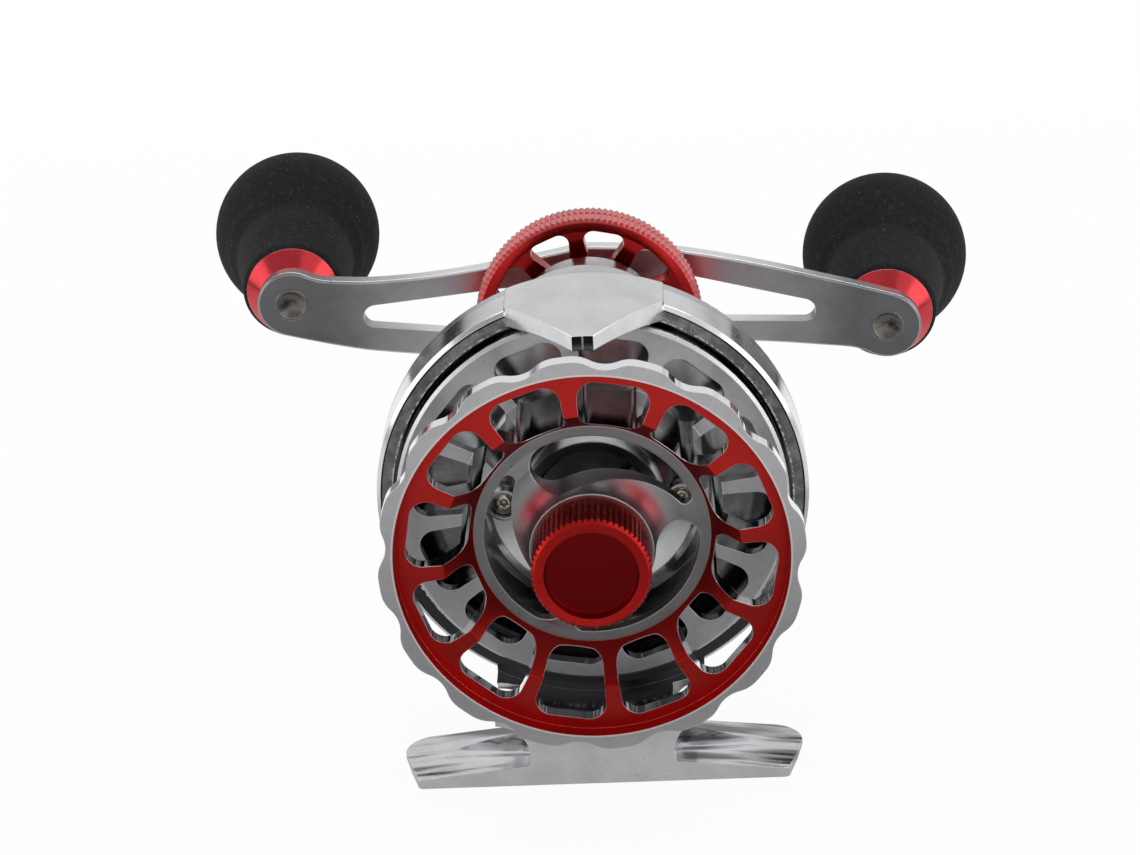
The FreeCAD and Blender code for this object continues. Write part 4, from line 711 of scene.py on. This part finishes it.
def knurl_band():
    """The star wheel's rim, cut all round with fine teeth that a groove crosses in the middle."""
    low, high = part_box("star_wheel")
    low, high = low.y, high.y
    middle = (low + high) / 2
    root = radius_of("star_wheel") + HAIR
    rings = [
        (low, root - KNURL_EDGE, 0.0), (low + KNURL_EDGE, root, 1.0),
        (middle - GROOVE_HALF, root, 1.0), (middle, root - GROOVE_DEPTH, 0.0),
        (middle + GROOVE_HALF, root, 1.0),
        (high - KNURL_EDGE, root, 1.0), (high, root - KNURL_EDGE, 0.0),
    ]
    segments = KNURL_TEETH * len(KNURL_SHAPE)
    points = []
    for y, radius, share in rings:
        for number in range(segments):
            turn = 2 * math.pi * number / segments
            reach = radius + KNURL_HEIGHT * share * KNURL_SHAPE[number % len(KNURL_SHAPE)]
            points.append((handle_axis.x + reach * math.cos(turn), y,
                           handle_axis.z + reach * math.sin(turn)))
    band = add_mesh("star_knurl", points, tube_faces(len(rings), segments))
    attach(band, "star_wheel")
    return band


def lathe(name, profile, segments, centre, axis, lobes=6):
    """A turned mesh. A profile point is (radius, way along the axis, depth of its lobes), in mm."""
    across = axis.cross(Vector((0, 0, 1))).normalized()
    up = across.cross(axis)
    points = []
    for radius, along, lobe in profile:
        for number in range(segments):
            turn = 2 * math.pi * number / segments
            reach = radius * MM - lobe * MM * (0.5 + 0.5 * math.cos(lobes * turn))
            outward = across * math.cos(turn) + up * math.sin(turn)
            points.append(centre + axis * (along * MM) + outward * reach)
    piece = add_mesh(name, points, tube_faces(len(profile), segments))
    build = bmesh.new()
    build.from_mesh(piece.data)
    bmesh.ops.remove_doubles(build, verts=build.verts, dist=1e-6)
    bmesh.ops.recalc_face_normals(build, faces=build.faces)
    build.to_mesh(piece.data)
    build.free()
    for polygon in piece.data.polygons:
        polygon.use_smooth = True
    return piece


# A foam bulb, in millimetres along the knob's axis and out from it.
GRIP_START = 6.2
GRIP_MOUTH = 8.3
GRIP_MOUTH_ROUND = 1.3
GRIP_MOUTH_STEPS = 6
GRIP_NECK = 10.2
GRIP_MELT = 5.0
GRIP_RADIUS = 14.2
GRIP_CENTRE = 34.0
GRIP_STEPS = 90
GRIP_SEGMENTS = 128
GRIP_BORE = 4.45
GRIP_BORE_END = 41.2


def grip_profile():
    """The bore, the round edge of the mouth, and the cone neck that swells into a ball."""
    profile = [(0, GRIP_BORE_END), (GRIP_BORE, GRIP_BORE_END), (GRIP_BORE, GRIP_START + 0.1)]
    for number in range(GRIP_MOUTH_STEPS + 1):
        turn = math.pi / 2 * number / GRIP_MOUTH_STEPS
        profile.append((GRIP_MOUTH - GRIP_MOUTH_ROUND + GRIP_MOUTH_ROUND * math.sin(turn),
                        GRIP_START + GRIP_MOUTH_ROUND - GRIP_MOUTH_ROUND * math.cos(turn)))
    neck_end = GRIP_CENTRE - math.sqrt(GRIP_RADIUS ** 2 - GRIP_NECK ** 2)
    for number in range(1, GRIP_STEPS + 1):
        turn = math.pi * (1 - number / GRIP_STEPS)
        along = GRIP_CENTRE + GRIP_RADIUS * math.cos(turn)
        if along <= GRIP_START + GRIP_MOUTH_ROUND:
            continue
        ball = GRIP_RADIUS * math.sin(turn)
        share = min(1.0, (along - GRIP_START) / (neck_end - GRIP_START))
        cone = GRIP_MOUTH + (GRIP_NECK - GRIP_MOUTH) * share
        fade = min(1.0, max(0.0, (GRIP_CENTRE - along) / (GRIP_CENTRE - neck_end)))
        near = max(0.0, 1 - abs(ball - cone) / GRIP_MELT) * fade
        radius = max(ball, cone) if along < GRIP_CENTRE else ball
        profile.append((radius + GRIP_MELT / 4 * near * near, along))
    return [(radius, along - GRIP_CENTRE, 0) for radius, along in profile]


def foam_grip(side):
    """A black foam bulb on the knob's own axis."""
    joint = next(joint for joint in frame["joints"] if joint["name"] == side + "_knob_spin")
    axis = Vector(joint["axis"]).normalized()
    grip = lathe("foam_" + side, grip_profile(), GRIP_SEGMENTS, Vector(joint["pos_m"]), axis)
    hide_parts("knob_grip_" + side)
    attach(grip, side + "_knob")
    return grip


# The frame's screws, in millimetres from the spool's axis, and the profile of a domed head.
SCREW_SPOTS = ((14.0, 0), (-14.0, 0), (0, -14.0))
SCREW_HEAD = [
    (0.0, 0.75, 0), (0.45, 0.75, 0.18), (0.50, 0.68, 0.2), (0.62, 0.10, 0.22), (0.70, 0.03, 0.22),
    (0.86, 0.0, 0.1), (1.0, 0.03, 0), (1.5, 0.2, 0), (1.82, 0.48, 0), (1.92, 0.62, 0),
    (1.92, 1.9, 0), (0.9, 1.9, 0),
]
SCREW_SHANK = 0.9
SCREW_SEGMENTS = 60


def socket_screws():
    """The frame's screws, with a six-lobed recess in each domed head."""
    low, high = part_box("frame_screws")
    length = (high.y - low.y) / MM
    profile = SCREW_HEAD + [(SCREW_SHANK, length, 0), (0.0, length, 0)]
    parts = []
    for number, (x, z) in enumerate(SCREW_SPOTS):
        centre = Vector((spool_axis.x + x * MM, low.y, spool_axis.z + z * MM))
        piece = lathe("frame_screw_%d" % (number + 1), profile, SCREW_SEGMENTS, centre,
                      Vector((0, 1, 0)))
        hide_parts("frame_screws")
        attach(piece, "frame")
        parts.append(piece)
    return parts


def dress(node, shader):
    """Give a CAD node its finish."""
    mesh = nodes[node].data
    mesh.materials.clear()
    mesh.materials.append(shader.material)


STEEL_NODES = (
    "handle_spacer", "drive_bearing", "one_way_bearing", "spool_shaft", "drive_shaft",
    "pressure_plate", "one_way_sleeve", "spring_washers", "handle_nut", "nut_screw",
    "knob_screw_left", "knob_screw_right", "knob_bearings_left", "knob_bearings_right",
)


def dress_all():
    """The finish of every CAD node, apart from those that a piece of this scene replaces."""
    dress("spool", spool_material())
    dress("frame", frame_material())
    dress("gear_cover", metal("cover_metal", SATIN, 0.22, handle_axis, waves=0.02))
    dress("spool_hub", hub_material())
    dress("handle_arm", arm_material())
    dress("spool_knob", knob_material())
    dress("star_wheel", metal("star_red", (0.56, 0.022, 0.022, 1), 0.24, handle_axis, rings=0,
                              specks=0.1, worn_edge_shine=0.3))
    for side in SIDES:
        collar = "knob_collar_" + side
        dress(collar, metal("collar_" + side, (0.56, 0.045, 0.055, 1), 0.22, centre_of(collar),
                            rings=0, specks=0.1, worn_edge_shine=0.3))
        dress("knob_post_" + side, rivet_material(side))
    finishes = (
        (metal("steel", (0.5, 0.48, 0.45, 1), 0.26, handle_axis), STEEL_NODES),
        (metal("bearing", (0.62, 0.61, 0.62, 1), 0.3, rings=0, specks=0.1),
         ("spool_bearing_front", "spool_bearing_rear")),
        (metal("black_steel", STEEL_AND_SHADE_BLACK, 0.16), ("snap_ring", "shaft_clip", "drag_washer")),
        (metal("brass", (0.65, 0.45, 0.2, 1), 0.3), ("pinion", "main_gear")),
    )
    for shader, names in finishes:
        for name in names:
            dress(name, shader)


def add_pieces():
    """The pieces that are modelled here, with their finish."""
    bronze = metal("screw_metal", (0.74, 0.67, 0.58, 1), 0.24)
    for piece in socket_screws():
        piece.data.materials.append(bronze.material)
    knurl_red = metal("knurl_red", (0.60, 0.06, 0.062, 1), 0.3, handle_axis, rings=0, specks=0.1,
                      coat=0.25)
    knurl_band().data.materials.append(knurl_red.material)
    foam = foam_material()
    for side in SIDES:
        foam_grip(side).data.materials.append(foam.material)


add_camera()
add_stage()
add_lights()
dress_all()
add_pieces()
